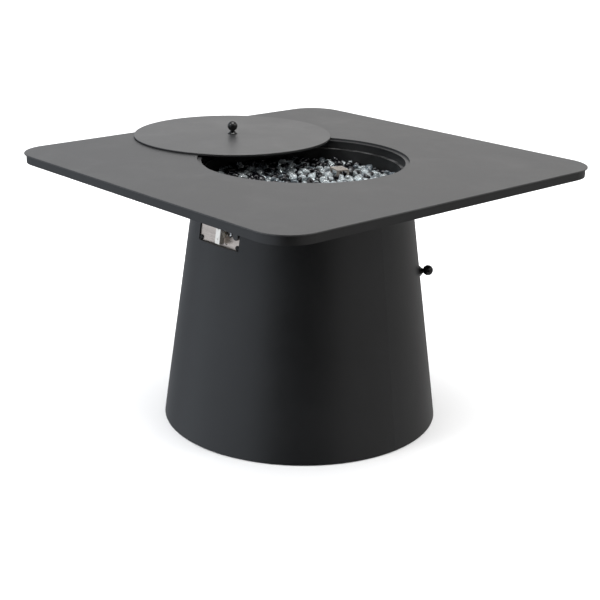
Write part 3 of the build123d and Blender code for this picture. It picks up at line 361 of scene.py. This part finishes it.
def build_smudges(name):
    """Soft marks left by hands and cloths, as a mask."""
    tree, given = new_effect(name, (
        ("Scale", "Float", 9.0),
        ("Amount", "Float", 0.3),
    ), (("Mask", "Float"),))
    place = object_place(tree)
    marks = cloud(tree, place, given["Scale"], 4.0, 0.62, 0.8)
    wipes = cloud(tree, place, maths(tree, "MULTIPLY", given["Scale"], 4.3), 2.0, 0.5, 1.6)
    mask = maths(tree, "MULTIPLY", spread(tree, marks, 0.46, 0.72),
                 spread(tree, wipes, 0.3, 0.7, 0.4, 1.0))
    mask = maths(tree, "MULTIPLY", mask, given["Amount"], clamp=True)
    add(tree, "NodeGroupOutput", {"Mask": mask})
    return tree


def build_dust(name):
    """Thin dust that lies on what faces up, as a mask."""
    tree, given = new_effect(name, (
        ("Amount", "Float", 0.3),
        ("Scale", "Float", 40.0),
    ), (("Mask", "Float"),))
    place = object_place(tree)
    flat = spread(tree, upward(tree), 0.35, 0.95)
    drift = cloud(tree, place, given["Scale"], 5.0, 0.7)
    motes = cloud(tree, place, 900.0, 1.0, 0.5)
    mask = maths(tree, "MULTIPLY", spread(tree, drift, 0.35, 0.75),
                 spread(tree, motes, 0.35, 0.65, 0.4, 1.0))
    mask = maths(tree, "MULTIPLY", maths(tree, "MULTIPLY", mask, flat), given["Amount"], clamp=True)
    add(tree, "NodeGroupOutput", {"Mask": mask})
    return tree


def build_edge_wear(name):
    """Where edges have rubbed bright, as a mask."""
    tree, given = new_effect(name, (
        ("Radius", "Float", 0.0012),
        ("Amount", "Float", 0.5),
    ), (("Mask", "Float"),))
    rounded = add(tree, "ShaderNodeBevel", {"Radius": given["Radius"]}, samples=3).outputs[0]
    normal = add(tree, "ShaderNodeNewGeometry").outputs["Normal"]
    edge = spread(tree, along(tree, rounded, normal), 0.995, 0.90)
    broken = spread(tree, cloud(tree, object_place(tree), 140.0, 4.0, 0.7), 0.42, 0.62)
    mask = maths(tree, "MULTIPLY", maths(tree, "MULTIPLY", edge, broken), given["Amount"], clamp=True)
    add(tree, "NodeGroupOutput", {"Mask": mask})
    return tree


def build_heat_tint(name):
    """Straw, brown and blue bands that heat leaves on bare steel."""
    tree, given = new_effect(name, (
        ("Colour", "Color", (0.45, 0.36, 0.28, 1.0)),
        ("Scale", "Float", 30.0),
        ("Heat", "Float", 0.6),
    ), (("Colour", "Color"), ("Roughness", "Float"), ("Height", "Float")))
    place = object_place(tree)
    bands = cloud(tree, place, given["Scale"], 3.0, 0.55, 0.6)
    soot = cloud(tree, place, maths(tree, "MULTIPLY", given["Scale"], 3.1), 5.0, 0.7)
    ramp = add(tree, "ShaderNodeValToRGB", {"Fac": bands})
    elements = ramp.color_ramp.elements
    for element, (position, colour) in zip(elements, (HEAT_BANDS[0], HEAT_BANDS[-1])):
        element.position, element.color = position, rgba(colour)
    for position, colour in HEAT_BANDS[1:-1]:
        elements.new(position).color = rgba(colour)
    tinted = blend_colour(tree, given["Heat"], given["Colour"], ramp.outputs["Color"])
    sooty = spread(tree, soot, 0.52, 0.70, 0.0, 0.75)
    colour = blend_colour(tree, sooty, tinted, rgba(SOOT_COLOUR))
    rough = maths(tree, "ADD", 0.32, maths(tree, "MULTIPLY", sooty, 0.45), clamp=True)
    add(tree, "NodeGroupOutput", {"Colour": colour, "Roughness": rough, "Height": soot})
    return tree


# ---- Finishes ----
def new_finish(name, **plain):
    """Material with one Principled shader. Plain values go on the shader's own sockets."""
    finish = bpy.data.materials.new(name)
    finish.use_nodes = True
    tree = finish.node_tree
    tree.nodes.clear()
    shader = add(tree, "ShaderNodeBsdfPrincipled")
    for label, value in plain.items():
        shader.inputs[label.replace("_", " ")].default_value = value
    add(tree, "ShaderNodeOutputMaterial", {"Surface": shader.outputs["BSDF"]})
    return finish, tree, shader


def place_effect(tree, name, build, **given):
    """The node group in a material, with this material's values."""
    values = {label.replace("_", " "): value for label, value in given.items()}
    return add(tree, "ShaderNodeGroup", values, node_tree=effect(name, build)).outputs


def relief(tree, shader, height, strength, depth):
    """Bump from a height, with its depth in metres."""
    bump = add(tree, "ShaderNodeBump", {
        "Height": height, "Strength": strength, "Distance": depth})
    tree.links.new(bump.outputs["Normal"], shader.inputs["Normal"])


def feed(tree, shader, colour, roughness):
    tree.links.new(colour, shader.inputs["Base Color"])
    tree.links.new(roughness, shader.inputs["Roughness"])


def powder_coat(name, colour, roughness, patches, dust, lip_shade=1.0):
    """Matt or satin powder coat with its grain, hand marks and a little dust.

    A lip shade below 1 paints shade on upright faces: it makes them darker and more matt.
    """
    finish, tree, shader = new_finish(name)
    skin = place_effect(tree, "Coat Texture", build_coat_texture, Colour=rgba(colour),
                        Grain_Size=settings().coat.grain, Patches=patches, Roughness=roughness)
    marks = place_effect(tree, "Smudges", build_smudges, Scale=7.0, Amount=0.35)["Mask"]
    motes = place_effect(tree, "Dust", build_dust, Amount=dust, Scale=22.0)["Mask"]
    dusty = blend_colour(tree, motes, skin["Colour"], rgba(DUST_COLOUR))
    rough = maths(tree, "SUBTRACT", skin["Roughness"], maths(tree, "MULTIPLY", marks, 0.10))
    rough = maths(tree, "ADD", rough, maths(tree, "MULTIPLY", motes, 0.3), clamp=True)
    if lip_shade < 1.0:
        # Painted shade: faces that do not face up are blended to a darker copy of the coat, for the
        # shadow line under the lid's edge, and made more matt
        upright = spread(tree, upward(tree), 0.5, 0.2)
        dusty = blend_colour(tree, upright, dusty, rgba(colour, lip_shade))
        rough = maths(tree, "ADD", rough, maths(tree, "MULTIPLY", upright, 0.35), clamp=True)
    feed(tree, shader, dusty, rough)
    relief(tree, shader, skin["Height"], 0.35, 0.00012)
    return finish


def worn_coat(name, colour, bare):
    """Heat coat, rubbed down to bright steel on edges and here and there on flat faces."""
    finish, tree, shader = new_finish(name)
    skin = place_effect(tree, "Coat Texture", build_coat_texture, Colour=rgba(colour),
                        Grain_Size=settings().coat.grain, Patches=0.4, Roughness=0.40)
    edge = place_effect(tree, "Edge Wear", build_edge_wear, Radius=0.0012, Amount=0.8)["Mask"]
    scuffs = spread(tree, cloud(tree, object_place(tree), 38.0, 4.0, 0.6), 0.42, 0.58)
    flange = maths(tree, "MULTIPLY", spread(tree, upward(tree), 0.8, 0.95), scuffs)
    bright = maths(tree, "MAXIMUM", edge, maths(tree, "MULTIPLY", flange, 0.20), clamp=True)
    tree.links.new(bright, shader.inputs["Metallic"])
    rough = maths(tree, "SUBTRACT", skin["Roughness"], maths(tree, "MULTIPLY", bright, 0.15))
    feed(tree, shader, blend_colour(tree, bright, skin["Colour"], rgba(bare)), rough)
    relief(tree, shader, skin["Height"], 0.3, 0.00012)
    return finish


def gloss_enamel(name, colour):
    """Smooth enamel with finger marks."""
    finish, tree, shader = new_finish(
        name, Specular_IOR_Level=0.3, Coat_Weight=0.2, Coat_Roughness=0.08)
    skin = place_effect(tree, "Coat Texture", build_coat_texture, Colour=rgba(colour),
                        Grain_Size=0.004, Patches=0.1, Roughness=0.16)
    marks = place_effect(tree, "Smudges", build_smudges, Scale=60.0, Amount=0.6)["Mask"]
    rough = maths(tree, "ADD", skin["Roughness"], maths(tree, "MULTIPLY", marks, 0.25), clamp=True)
    feed(tree, shader, skin["Colour"], rough)
    relief(tree, shader, skin["Height"], 0.15, 0.0002)
    return finish


def brushed_metal(name, colour, scale, roughness, contrast, anisotropic=0.0):
    """Bare metal. scale says how fine its grain is along each axis."""
    finish, tree, shader = new_finish(name, Metallic=1.0, Anisotropic=anisotropic)
    grain = place_effect(tree, "Brushed Grain", build_brushed_grain, Colour=rgba(colour),
                         Scale=scale, Roughness=roughness, Contrast=contrast)
    marks = place_effect(tree, "Smudges", build_smudges, Scale=35.0, Amount=0.5)["Mask"]
    dull = blend_colour(tree, marks, grain["Colour"], rgba(colour, 0.72))
    rough = maths(tree, "ADD", grain["Roughness"], maths(tree, "MULTIPLY", marks, 0.12),
                  clamp=True)
    feed(tree, shader, dull, rough)
    relief(tree, shader, grain["Height"], 0.25, 0.00005)
    return finish


def tempered_steel(name, heat, metallic=0.85):
    """Steel that heat has tinted, with rubbed edges."""
    finish, tree, shader = new_finish(name, Metallic=metallic)
    tint = place_effect(tree, "Heat Tint", build_heat_tint, Heat=heat, Scale=38.0,
                        Colour=rgba(settings().metal.tempered))
    edge = place_effect(tree, "Edge Wear", build_edge_wear, Radius=0.0008, Amount=0.5)["Mask"]
    rubbed = blend_colour(tree, edge, tint["Colour"], rgba(RUBBED_STEEL))
    feed(tree, shader, rubbed, tint["Roughness"])
    relief(tree, shader, tint["Height"], 0.3, 0.0003)
    return finish


def plain_skin(name, colour, roughness, grain, patches=0.15, **plain):
    """Plastic, rubber or ceramic: a moulded skin with faint marks and dust."""
    finish, tree, shader = new_finish(name, **plain)
    skin = place_effect(tree, "Coat Texture", build_coat_texture, Colour=rgba(colour),
                        Grain_Size=grain, Patches=patches, Roughness=roughness)
    motes = place_effect(tree, "Dust", build_dust, Amount=0.12, Scale=60.0)["Mask"]
    dusty = blend_colour(tree, motes, skin["Colour"], rgba(SKIN_DUST_COLOUR))
    feed(tree, shader, dusty, skin["Roughness"])
    relief(tree, shader, skin["Height"], 0.25, 0.0001)
    return finish


def fire_glass_finish(name, tint, roughness, transmission):
    """Tumbled glass with a faint bloom and flow lines on its skin."""
    finish, tree, shader = new_finish(name, Transmission_Weight=transmission, IOR=1.5)
    place = object_place(tree)
    bloom = cloud(tree, place, 95.0, 3.0, 0.6)
    flow = cloud(tree, place, 260.0, 2.0, 0.5, 1.2)
    shade = scaled(tree, tint, spread(tree, bloom, 0.3, 0.7, 0.72, 1.12))
    rough = spread(tree, flow, 0.35, 0.75, roughness, roughness + 0.08)
    feed(tree, shader, shade, rough)
    relief(tree, shader, flow, 0.35, 0.0006)
    return finish


def finish_nodes(finish, *names):
    """Gives CAD nodes a finish in every material slot."""
    for name in names:
        data = NODES[name].data
        if not data.materials:
            data.materials.append(finish)
        for index in range(len(data.materials)):
            data.materials[index] = finish


# ---- Fire glass ----
def ball_points(rings=7, spokes=12):
    """Unit sphere as vertices and faces, with a pole at each end."""
    points = [(0.0, 0.0, -1.0)]
    for ring in range(1, rings):
        lift = -math.pi / 2 + math.pi * ring / rings
        for spoke in range(spokes):
            turn = 2 * math.pi * (spoke + 0.5 * (ring % 2)) / spokes
            points.append((math.cos(lift) * math.cos(turn),
                           math.cos(lift) * math.sin(turn), math.sin(lift)))
    points.append((0.0, 0.0, 1.0))
    faces = [(0, 1 + (s + 1) % spokes, 1 + s) for s in range(spokes)]
    for ring in range(rings - 2):
        low, high = 1 + ring * spokes, 1 + (ring + 1) * spokes
        shift = (ring + 1) % 2
        for s in range(spokes):
            after = (s + 1) % spokes
            if shift:
                faces.append((low + s, low + after, high + s))
                faces.append((low + after, high + after, high + s))
            else:
                faces.append((low + s, low + after, high + after))
                faces.append((low + s, high + after, high + s))
    top = len(points) - 1
    last = 1 + (rings - 2) * spokes
    faces += [(last + s, last + (s + 1) % spokes, top) for s in range(spokes)]
    return np.array(points), np.array(faces)


def nugget(ball, rng):
    """One tumbled nugget: a ball cut back by a few flat planes, then squashed."""
    shape = ball.copy()
    for _ in range(rng.randint(*CUT_PLANES)):
        direction = np.array([rng.gauss(0, 1) for _ in range(3)])
        direction /= np.linalg.norm(direction)
        over = shape @ direction - rng.uniform(*CUT_REACH)
        shape -= np.outer(np.maximum(over, 0.0) * CUT_SHARE, direction)
    squash = np.array([1.0, rng.uniform(*BREADTH), rng.uniform(*THICKNESS)])
    return shape * squash


def spread_pieces(size, rng):
    """Places in the bowl, pushed off each other, off the wall and off the pilot guard."""
    count = int(FILL_SHARE * (GLASS_RADIUS / (0.5 * size)) ** 2)
    reach = GLASS_RADIUS - 0.5 * size
    angle = np.array([rng.uniform(0, 2 * math.pi) for _ in range(count)])
    away = np.array([reach * math.sqrt(rng.random()) for _ in range(count)])
    spots = np.stack([away * np.cos(angle), away * np.sin(angle)], axis=1)
    sizes = np.array([size * rng.uniform(*SIZE_SPREAD) for _ in range(count)])
    hood = np.array(HOOD_MIDDLE[:2])
    cos, sin = math.cos(HOOD_TURN), math.sin(HOOD_TURN)
    axes = np.array([[cos, sin], [-sin, cos]])
    for _ in range(PUSH_ROUNDS):
        gap = spots[:, None, :] - spots[None, :, :]
        far = np.linalg.norm(gap, axis=2) + np.eye(count)
        want = PIECE_GAP * (sizes[:, None] + sizes[None, :])
        push = np.clip(want - far, 0.0, None) * (1 - np.eye(count))
        spots += PUSH_STEP * np.sum(gap / far[:, :, None] * push[:, :, None], axis=1)
        out = np.linalg.norm(spots, axis=1)
        spots *= np.minimum(1.0, reach / np.maximum(out, 1e-6))[:, None]
        offset = (spots - hood) @ axes.T
        inside = HOOD_HALF + GUARD_GAP * sizes[:, None] - np.abs(offset)
        nearest = np.argmin(inside, axis=1)
        for i in np.nonzero(np.all(inside > 0, axis=1))[0]:
            axis = nearest[i]
            spots[i] += math.copysign(inside[i, axis], offset[i, axis]) * axes[axis]
    return spots, sizes


def lay_fire_glass(wanted):
    """All the pieces, as one list of points and faces for each kind of glass."""
    rng = random.Random(wanted.seed)
    ball, faces = ball_points()
    shapes = [nugget(ball, rng) for _ in range(SHAPE_COUNT)]
    kinds = {"clear": [], "grey": [], "black": []}
    for layer in range(wanted.layers):
        level = GLASS_HIGH[2] - FIRST_LAYER_DEPTH - LAYER_STEP * layer
        spots, sizes = spread_pieces(wanted.piece_size, rng)
        for (x, y), size in zip(spots, sizes):
            # Painted shade: the share of black pieces rises away from the lit side, where the lid's
            # shadow falls
            towards = (x * LIT_SIDE_WAY[0] + y * LIT_SIDE_WAY[1]) / GLASS_RADIUS
            draw = rng.random() - LIT_SIDE_CLEAR_BIAS * towards
            kind = "clear" if draw < wanted.clear_share else "black"
            if wanted.clear_share <= draw < wanted.clear_share + wanted.grey_share:
                kind = "grey"
            turn = Matrix.Rotation(rng.gauss(0, TILT), 3, "X")
            turn = turn @ Matrix.Rotation(rng.gauss(0, TILT), 3, "Y")
            turn = np.array(turn @ Matrix.Rotation(rng.uniform(0, 2 * math.pi), 3, "Z"))
            heap = 0.004 * math.sin(21.0 * x + 1.3) * math.cos(17.0 * y)
            heap += rng.uniform(-0.0035, 0.0035)
            from_guard = math.hypot(x - HOOD_MIDDLE[0], y - HOOD_MIDDLE[1])
            heap += HEAP_BY_GUARD * math.exp(-from_guard / HEAP_FADE)
            points = (shapes[rng.randrange(len(shapes))] * size / 2) @ turn.T
            kinds[kind].append(points + np.array([x, y, level + heap]))
    return kinds, faces


def mesh_of(name, parts, faces):
    """One mesh from many copies of the same face list."""
    step = len(parts[0])
    points = np.concatenate(parts)
    indices = np.concatenate([faces + step * i for i in range(len(parts))])
    data = bpy.data.meshes.new(name)
    data.from_pydata(points.tolist(), [], indices.tolist())
    data.shade_smooth()
    data.update()
    return into_scene(name, data)


def glass_bed():
    """Dark lumpy bed under the loose pieces."""
    rings, spokes = 46, 140
    level = GLASS_HIGH[2] - BED_DEPTH
    points = [(0.0, 0.0, level)]
    for ring in range(1, rings + 1):
        for spoke in range(spokes):
            away, turn = GLASS_RADIUS * ring / rings, 2 * math.pi * spoke / spokes
            x, y = away * math.cos(turn), away * math.sin(turn)
            lump = math.sin(310 * x + 2 * math.sin(90 * y))
            lump *= math.cos(290 * y + 2 * math.sin(70 * x))
            points.append((x, y, level + BED_LUMP * lump))
    faces = [(0, 1 + s, 1 + (s + 1) % spokes) for s in range(spokes)]
    for ring in range(rings - 1):
        low, high = 1 + ring * spokes, 1 + (ring + 1) * spokes
        for s in range(spokes):
            after = (s + 1) % spokes
            faces.append((low + s, high + s, high + after, low + after))
    data = bpy.data.meshes.new("glass_bed")
    data.from_pydata(points, [], faces)
    data.shade_smooth()
    piece = into_scene("glass_bed", data)
    thick = piece.modifiers.new("Thickness", "SOLIDIFY")
    thick.thickness = BED_THICKNESS
    thick.offset = -1.0
    return piece


# ---- Operators: one for each piece or group of like pieces ----
class FIRETABLE_OT_coat_top(Operator):
    """Coat the table top, the lid and the seat round the bowl"""

    bl_idname = "firetable.coat_top"
    bl_label = "Coat Top and Lid"

    def execute(self, context):
        coat = settings().coat
        top = powder_coat("Top Powder Coat", coat.top_colour, roughness=0.44, patches=0.45, dust=0.05)
        # The lid's rim and underside get painted shade, at 0.15 of the coat's colour
        lid = powder_coat("Lid Powder Coat", coat.top_colour, roughness=0.39, patches=0.40, dust=0.04,
                          lip_shade=0.15)
        finish_nodes(top, "table_top", "lid_seat")
        finish_nodes(lid, "lid_plate")
        return {"FINISHED"}


class FIRETABLE_OT_coat_body(Operator):
    """Coat the pedestal, the rim, the door and the frame under the top"""

    bl_idname = "firetable.coat_body"
    bl_label = "Coat Pedestal and Frame"

    def execute(self, context):
        coat = settings().coat
        # The pedestal's colour is painted shade: the top's coat set darker
        shell = powder_coat("Pedestal Coat Painted Shade", coat.shaded_body_colour,
                            roughness=0.40, patches=0.25, dust=0.05)
        # Painted shade: the frame and rim band take the body coat at 0.6 of its colour, for the shade
        # under the top
        shade = tuple(0.6 * part for part in coat.shaded_body_colour)
        shaded_frame_coat = powder_coat("Frame Coat Painted Shade", shade, roughness=0.44, patches=0.35, dust=0.06)
        finish_nodes(shell, "pedestal_shell", "door_panel", "door_hinge_leaves",
                     "fixed_hinge_leaves")
        finish_nodes(shaded_frame_coat, "rim_band", "crossbar_back", "crossbar_left", "crossbar_front",
                     "crossbar_right", "neck_ring", "base_ring", "bottle_tray", "bottle_hoop",
                     "door_frame", "door_ribs", "panel_surround")
        return {"FINISHED"}


class FIRETABLE_OT_coat_bowl(Operator):
    """Coat the collar, the burner pan and the grate with heat-resistant black"""

    bl_idname = "firetable.coat_bowl"
    bl_label = "Coat Fire Bowl"

    def execute(self, context):
        coat = settings().coat
        bowl = powder_coat("Bowl Heat Coat", coat.bowl_colour, roughness=0.42, patches=0.4, dust=0.08)
        pan = worn_coat("Pan Heat Coat", coat.bowl_colour, settings().metal.zinc)
        finish_nodes(bowl, "bowl_collar", "media_grate")
        finish_nodes(pan, "burner_pan")
        return {"FINISHED"}


class FIRETABLE_OT_finish_knobs(Operator):
    """Enamel the two ball knobs"""

    bl_idname = "firetable.finish_knobs"
    bl_label = "Finish Ball Knobs"

    def execute(self, context):
        enamel = gloss_enamel("Gloss Knob Enamel", settings().coat.knob_colour)
        finish_nodes(enamel, "lid_knob", "door_knob")
        return {"FINISHED"}


class FIRETABLE_OT_finish_controls(Operator):
    """Finish the control plate, the valve knob, the igniter and the battery cap"""

    bl_idname = "firetable.finish_controls"
    bl_label = "Finish Controls"

    def execute(self, context):
        metal = settings().metal
        plate = brushed_metal("Brushed Stainless Plate", metal.stainless, (70.0, 1800.0, 1800.0),
                              roughness=0.34, contrast=0.32, anisotropic=0.5)
        grip = brushed_metal("Satin Knob Metal", (0.94, 0.90, 0.83), (3600.0, 120.0, 120.0),
                             roughness=0.36, contrast=0.05)
        chrome = brushed_metal("Button Chrome", (0.78, 0.79, 0.80), (900.0, 900.0, 900.0),
                               roughness=0.08, contrast=0.05)
        plastic = plain_skin("Moulded Black Plastic", (0.008, 0.008, 0.008),
                             roughness=0.28, grain=0.0015)
        oxide = plain_skin("Black Oxide Screws", (0.003, 0.003, 0.003),
                           roughness=0.5, grain=0.001, Specular_IOR_Level=0.25)
        finish_nodes(plate, "control_plate")
        finish_nodes(grip, "control_knob")
        finish_nodes(chrome, "igniter_button")
        finish_nodes(plastic, "igniter_bezel", "igniter_module", "battery_holder", "battery_cap",
                     "magnet_catch")
        finish_nodes(oxide, "panel_screws")
        return {"FINISHED"}


class FIRETABLE_OT_finish_gas_parts(Operator):
    """Finish the valve, pipe, mixer, burner and their fasteners"""

    bl_idname = "firetable.finish_gas_parts"
    bl_label = "Finish Gas Parts"

    def execute(self, context):
        metal = settings().metal
        brass = brushed_metal("Machined Brass", metal.brass, (700.0, 700.0, 2600.0),
                              roughness=0.26, contrast=0.12)
        zinc = brushed_metal("Zinc Plate", metal.zinc, (420.0, 420.0, 420.0),
                             roughness=0.38, contrast=0.16)
        tube = brushed_metal("Drawn Aluminium", (0.70, 0.70, 0.70), (1500.0, 90.0, 1500.0),
                             roughness=0.30, contrast=0.08)
        burner = tempered_steel("Tempered Burner Steel", heat=0.75)
        rubber = plain_skin("Foot Rubber", (0.012, 0.012, 0.012),
                            roughness=0.78, grain=0.0025, patches=0.3)
        finish_nodes(brass, "gas_valve", "valve_plunger", "valve_stem", "burner_feed", "gas_elbow",
                     "pilot_burner")
        finish_nodes(zinc, "neck_bolts", "base_screws", "hinge_pins", "door_strike", "door_knob_screw",
                     "lid_knob_screw", "valve_nut", "heat_shield", "shield_spacers", "shield_screws")
        finish_nodes(tube, "gas_pipe", "air_mixer")
        finish_nodes(burner, "burner_ring", "pilot_bracket", "thermocouple")
        finish_nodes(rubber, "foot_pads")
        return {"FINISHED"}


class FIRETABLE_OT_finish_pilot(Operator):
    """Finish the slotted pilot guard and the spark electrode"""

    bl_idname = "firetable.finish_pilot"
    bl_label = "Finish Pilot"

    def execute(self, context):
        guard = tempered_steel("Tinted Pilot Guard", heat=0.18, metallic=0.5)
        ceramic = plain_skin("Glazed Ceramic", (0.72, 0.69, 0.62), roughness=0.18, grain=0.003)
        finish_nodes(guard, "pilot_hood")
        finish_nodes(ceramic, "spark_electrode")
        return {"FINISHED"}


class FIRETABLE_OT_fill_fire_glass(Operator):
    """Fill the bowl with loose clear, grey and black fire glass"""

    bl_idname = "firetable.fill_fire_glass"
    bl_label = "Fill with Fire Glass"

    def execute(self, context):
        finishes = {
            "clear": fire_glass_finish("Clear Fire Glass", (0.90, 0.97, 0.99),
                                       roughness=0.02, transmission=0.74),
            "grey": fire_glass_finish("Smoky Fire Glass", (0.26, 0.30, 0.33),
                                      roughness=0.03, transmission=0.70),
            "black": fire_glass_finish("Black Fire Glass", (0.004, 0.004, 0.006),
                                       roughness=0.03, transmission=0.0),
        }
        kinds, faces = lay_fire_glass(settings().glass)
        pieces = []
        for kind, parts in kinds.items():
            piece = mesh_of(f"fire_glass_{kind}", parts, faces)
            piece.data.materials.append(finishes[kind])
            pieces.append(piece)
        bed = glass_bed()
        bed.data.materials.append(finishes["black"])
        for piece in pieces + [bed]:
            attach(piece, "table")
            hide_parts("fire_glass")
        return {"FINISHED"}


class FIRETABLE_OT_build_studio(Operator):
    """Lay the floor and set the lights and the camera"""

    bl_idname = "firetable.build_studio"
    bl_label = "Build Studio"

    def execute(self, context):
        studio = settings().studio
        floor = lay_floor(studio)
        light_dome(studio)
        hang_lights(studio, floor)
        set_camera(studio)
        context.scene.view_settings.view_transform = "Standard"
        return {"FINISHED"}


# ---- Studio ----
def lay_floor(studio):
    """Plain floor that glossy surfaces do not mirror."""
    data = bpy.data.meshes.new("studio_floor")
    corners = [(x * FLOOR_HALF, y * FLOOR_HALF, 0.0) for x, y in ((-1, -1), (1, -1), (1, 1), (-1, 1))]
    data.from_pydata(corners, [], [(0, 1, 2, 3)])
    floor = into_scene("studio_floor", data)
    paint, tree, shader = new_finish("Studio Floor", Roughness=0.7, Specular_IOR_Level=0.2)
    shader.inputs["Base Color"].default_value = rgba(studio.floor_colour)
    data.materials.append(paint)
    floor.visible_glossy = False
    return floor


def light_dome(studio):
    """Soft sky. At table height the front is dark, the flanks glow and the back is pale.

    The back fades towards the floor.
    """
    world = bpy.data.worlds.new("Studio Dome")
    bpy.context.scene.world = world
    world.use_nodes = True
    tree = world.node_tree
    tree.nodes.clear()
    way = add(tree, "ShaderNodeTexCoord").outputs["Generated"]
    front = (math.sin(studio.azimuth), -math.cos(studio.azimuth), 0.0)
    right = (math.cos(studio.azimuth), math.sin(studio.azimuth), 0.0)
    ahead = along(tree, way, front)
    aside = along(tree, way, right)
    rise = add(tree, "ShaderNodeSeparateXYZ", {0: way}).outputs["Z"]
    window = spread(tree, ahead, 0.93, 0.78)
    flank = spread(tree, aside, 0.15, -0.15, studio.right_glow, studio.left_glow)
    band = maths(tree, "MULTIPLY", window, flank)
    backdrop = spread(tree, ahead, -0.2, -0.6)
    haze = spread(tree, rise, 0.02, 0.15, 0.34 * studio.backdrop_glow, studio.backdrop_glow)
    band = maths(tree, "ADD", maths(tree, "MULTIPLY", band, maths(tree, "SUBTRACT", 1.0, backdrop)),
                 maths(tree, "MULTIPLY", backdrop, haze))
    sky = spread(tree, rise, 0.25, 0.6)
    glow = maths(tree, "ADD", maths(tree, "MULTIPLY", band, maths(tree, "SUBTRACT", 1.0, sky)),
                 maths(tree, "MULTIPLY", sky, studio.sky_glow))
    cool = spread(tree, aside, 0.0, -0.6)
    tint = blend_colour(tree, cool, rgba(WARM_TINT), rgba(COOL_TINT))
    lamp = add(tree, "ShaderNodeBackground", {"Color": tint, "Strength": glow})
    add(tree, "ShaderNodeOutputWorld", {"Surface": lamp.outputs[0]})


def aim(obj, place, target):
    """Puts an object at a place with its -Z axis towards a target."""
    back = (Vector(place) - Vector(target)).normalized()
    turn = back.to_track_quat("Z", "Y").to_matrix().to_4x4()
    obj.matrix_world = Matrix.Translation(place) @ turn


def hang_lights(studio, floor):
    """Softbox overhead, a small key light at each side, and a light for the floor alone."""
    boxes = (  # name, degrees round from the camera, distance, height, size and power
        ("overhead_light", 0.0, 0.2, 3.0, 1.6, studio.overhead_power),
        ("left_light", -58.0, 2.6, 2.4, 0.7, studio.side_power),
        ("right_light", 70.0, 2.6, 2.4, 0.7, RIGHT_SHARE * studio.side_power),
    )
    for name, turn, away, height, size, power in boxes:
        lamp = bpy.data.lights.new(name, "AREA")
        lamp.shape = "SQUARE"
        lamp.size = size
        lamp.energy = power
        angle = studio.azimuth + math.radians(turn)
        place = (away * math.sin(angle), -away * math.cos(angle), height)
        aim(into_scene(name, lamp), place, LAMP_AIM)
    wash = bpy.data.lights.new("floor_light", "SUN")
    wash.energy = studio.floor_power
    wash.angle = FLOOR_SUN_ANGLE
    light = into_scene("floor_light", wash)
    lit = bpy.data.collections.new("Lit Floor")
    lit.objects.link(floor)
    light.light_linking.receiver_collection = lit


def set_camera(studio):
    """Camera that looks at a point above the table's foot, rolled a little."""
    turn, lift, roll = studio.azimuth, studio.elevation, studio.roll
    back = Vector((math.sin(turn) * math.cos(lift), -math.cos(turn) * math.cos(lift),
                   math.sin(lift)))
    level = Vector((math.cos(turn), math.sin(turn), 0.0))
    upright = back.cross(level)
    right = math.cos(roll) * level + math.sin(roll) * upright
    up = back.cross(right)
    place = Vector((0.0, 0.0, studio.aim_height)) + studio.distance * back
    data = bpy.data.cameras.new("studio_camera")
    data.lens = studio.lens
    data.sensor_width = SENSOR_WIDTH
    data.shift_x = LENS_SHIFT
    data.clip_end = 100.0
    camera = into_scene("studio_camera", data)
    turned = Matrix((right, up, back)).transposed().to_4x4()
    camera.matrix_world = Matrix.Translation(place) @ turned
    bpy.context.scene.camera = camera


# ---- Sidebar ----
STEPS = (
    FIRETABLE_OT_build_studio,
    FIRETABLE_OT_coat_top,
    FIRETABLE_OT_coat_body,
    FIRETABLE_OT_coat_bowl,
    FIRETABLE_OT_finish_knobs,
    FIRETABLE_OT_finish_controls,
    FIRETABLE_OT_finish_gas_parts,
    FIRETABLE_OT_finish_pilot,
    FIRETABLE_OT_fill_fire_glass,
)


class FIRETABLE_PT_sidebar(Panel):
    """Lists the steps and the settings"""

    bl_idname = "FIRETABLE_PT_sidebar"
    bl_label = "Fire Table"
    bl_space_type = "VIEW_3D"
    bl_region_type = "UI"
    bl_category = "Fire Table"

    def draw(self, context):
        layout = self.layout
        for step in STEPS:
            layout.operator(step.bl_idname)
        table = context.scene.fire_table
        for group in (table.coat, table.metal, table.glass, table.studio):
            box = layout.box()
            for name in group.__annotations__:
                box.prop(group, name)


CLASSES = (
    CoatSettings, MetalSettings, GlassSettings, StudioSettings, FireTableSettings,
    *STEPS, FIRETABLE_PT_sidebar,
)


def register():
    for cls in CLASSES:
        bpy.utils.register_class(cls)
    bpy.types.Scene.fire_table = PointerProperty(type=FireTableSettings)


def unregister():
    del bpy.types.Scene.fire_table
    for cls in reversed(CLASSES):
        bpy.utils.unregister_class(cls)


def main():
    register()
    for step in STEPS:
        family, action = step.bl_idname.split(".")
        getattr(getattr(bpy.ops, family), action)()


if __name__ == "__main__":
    main()
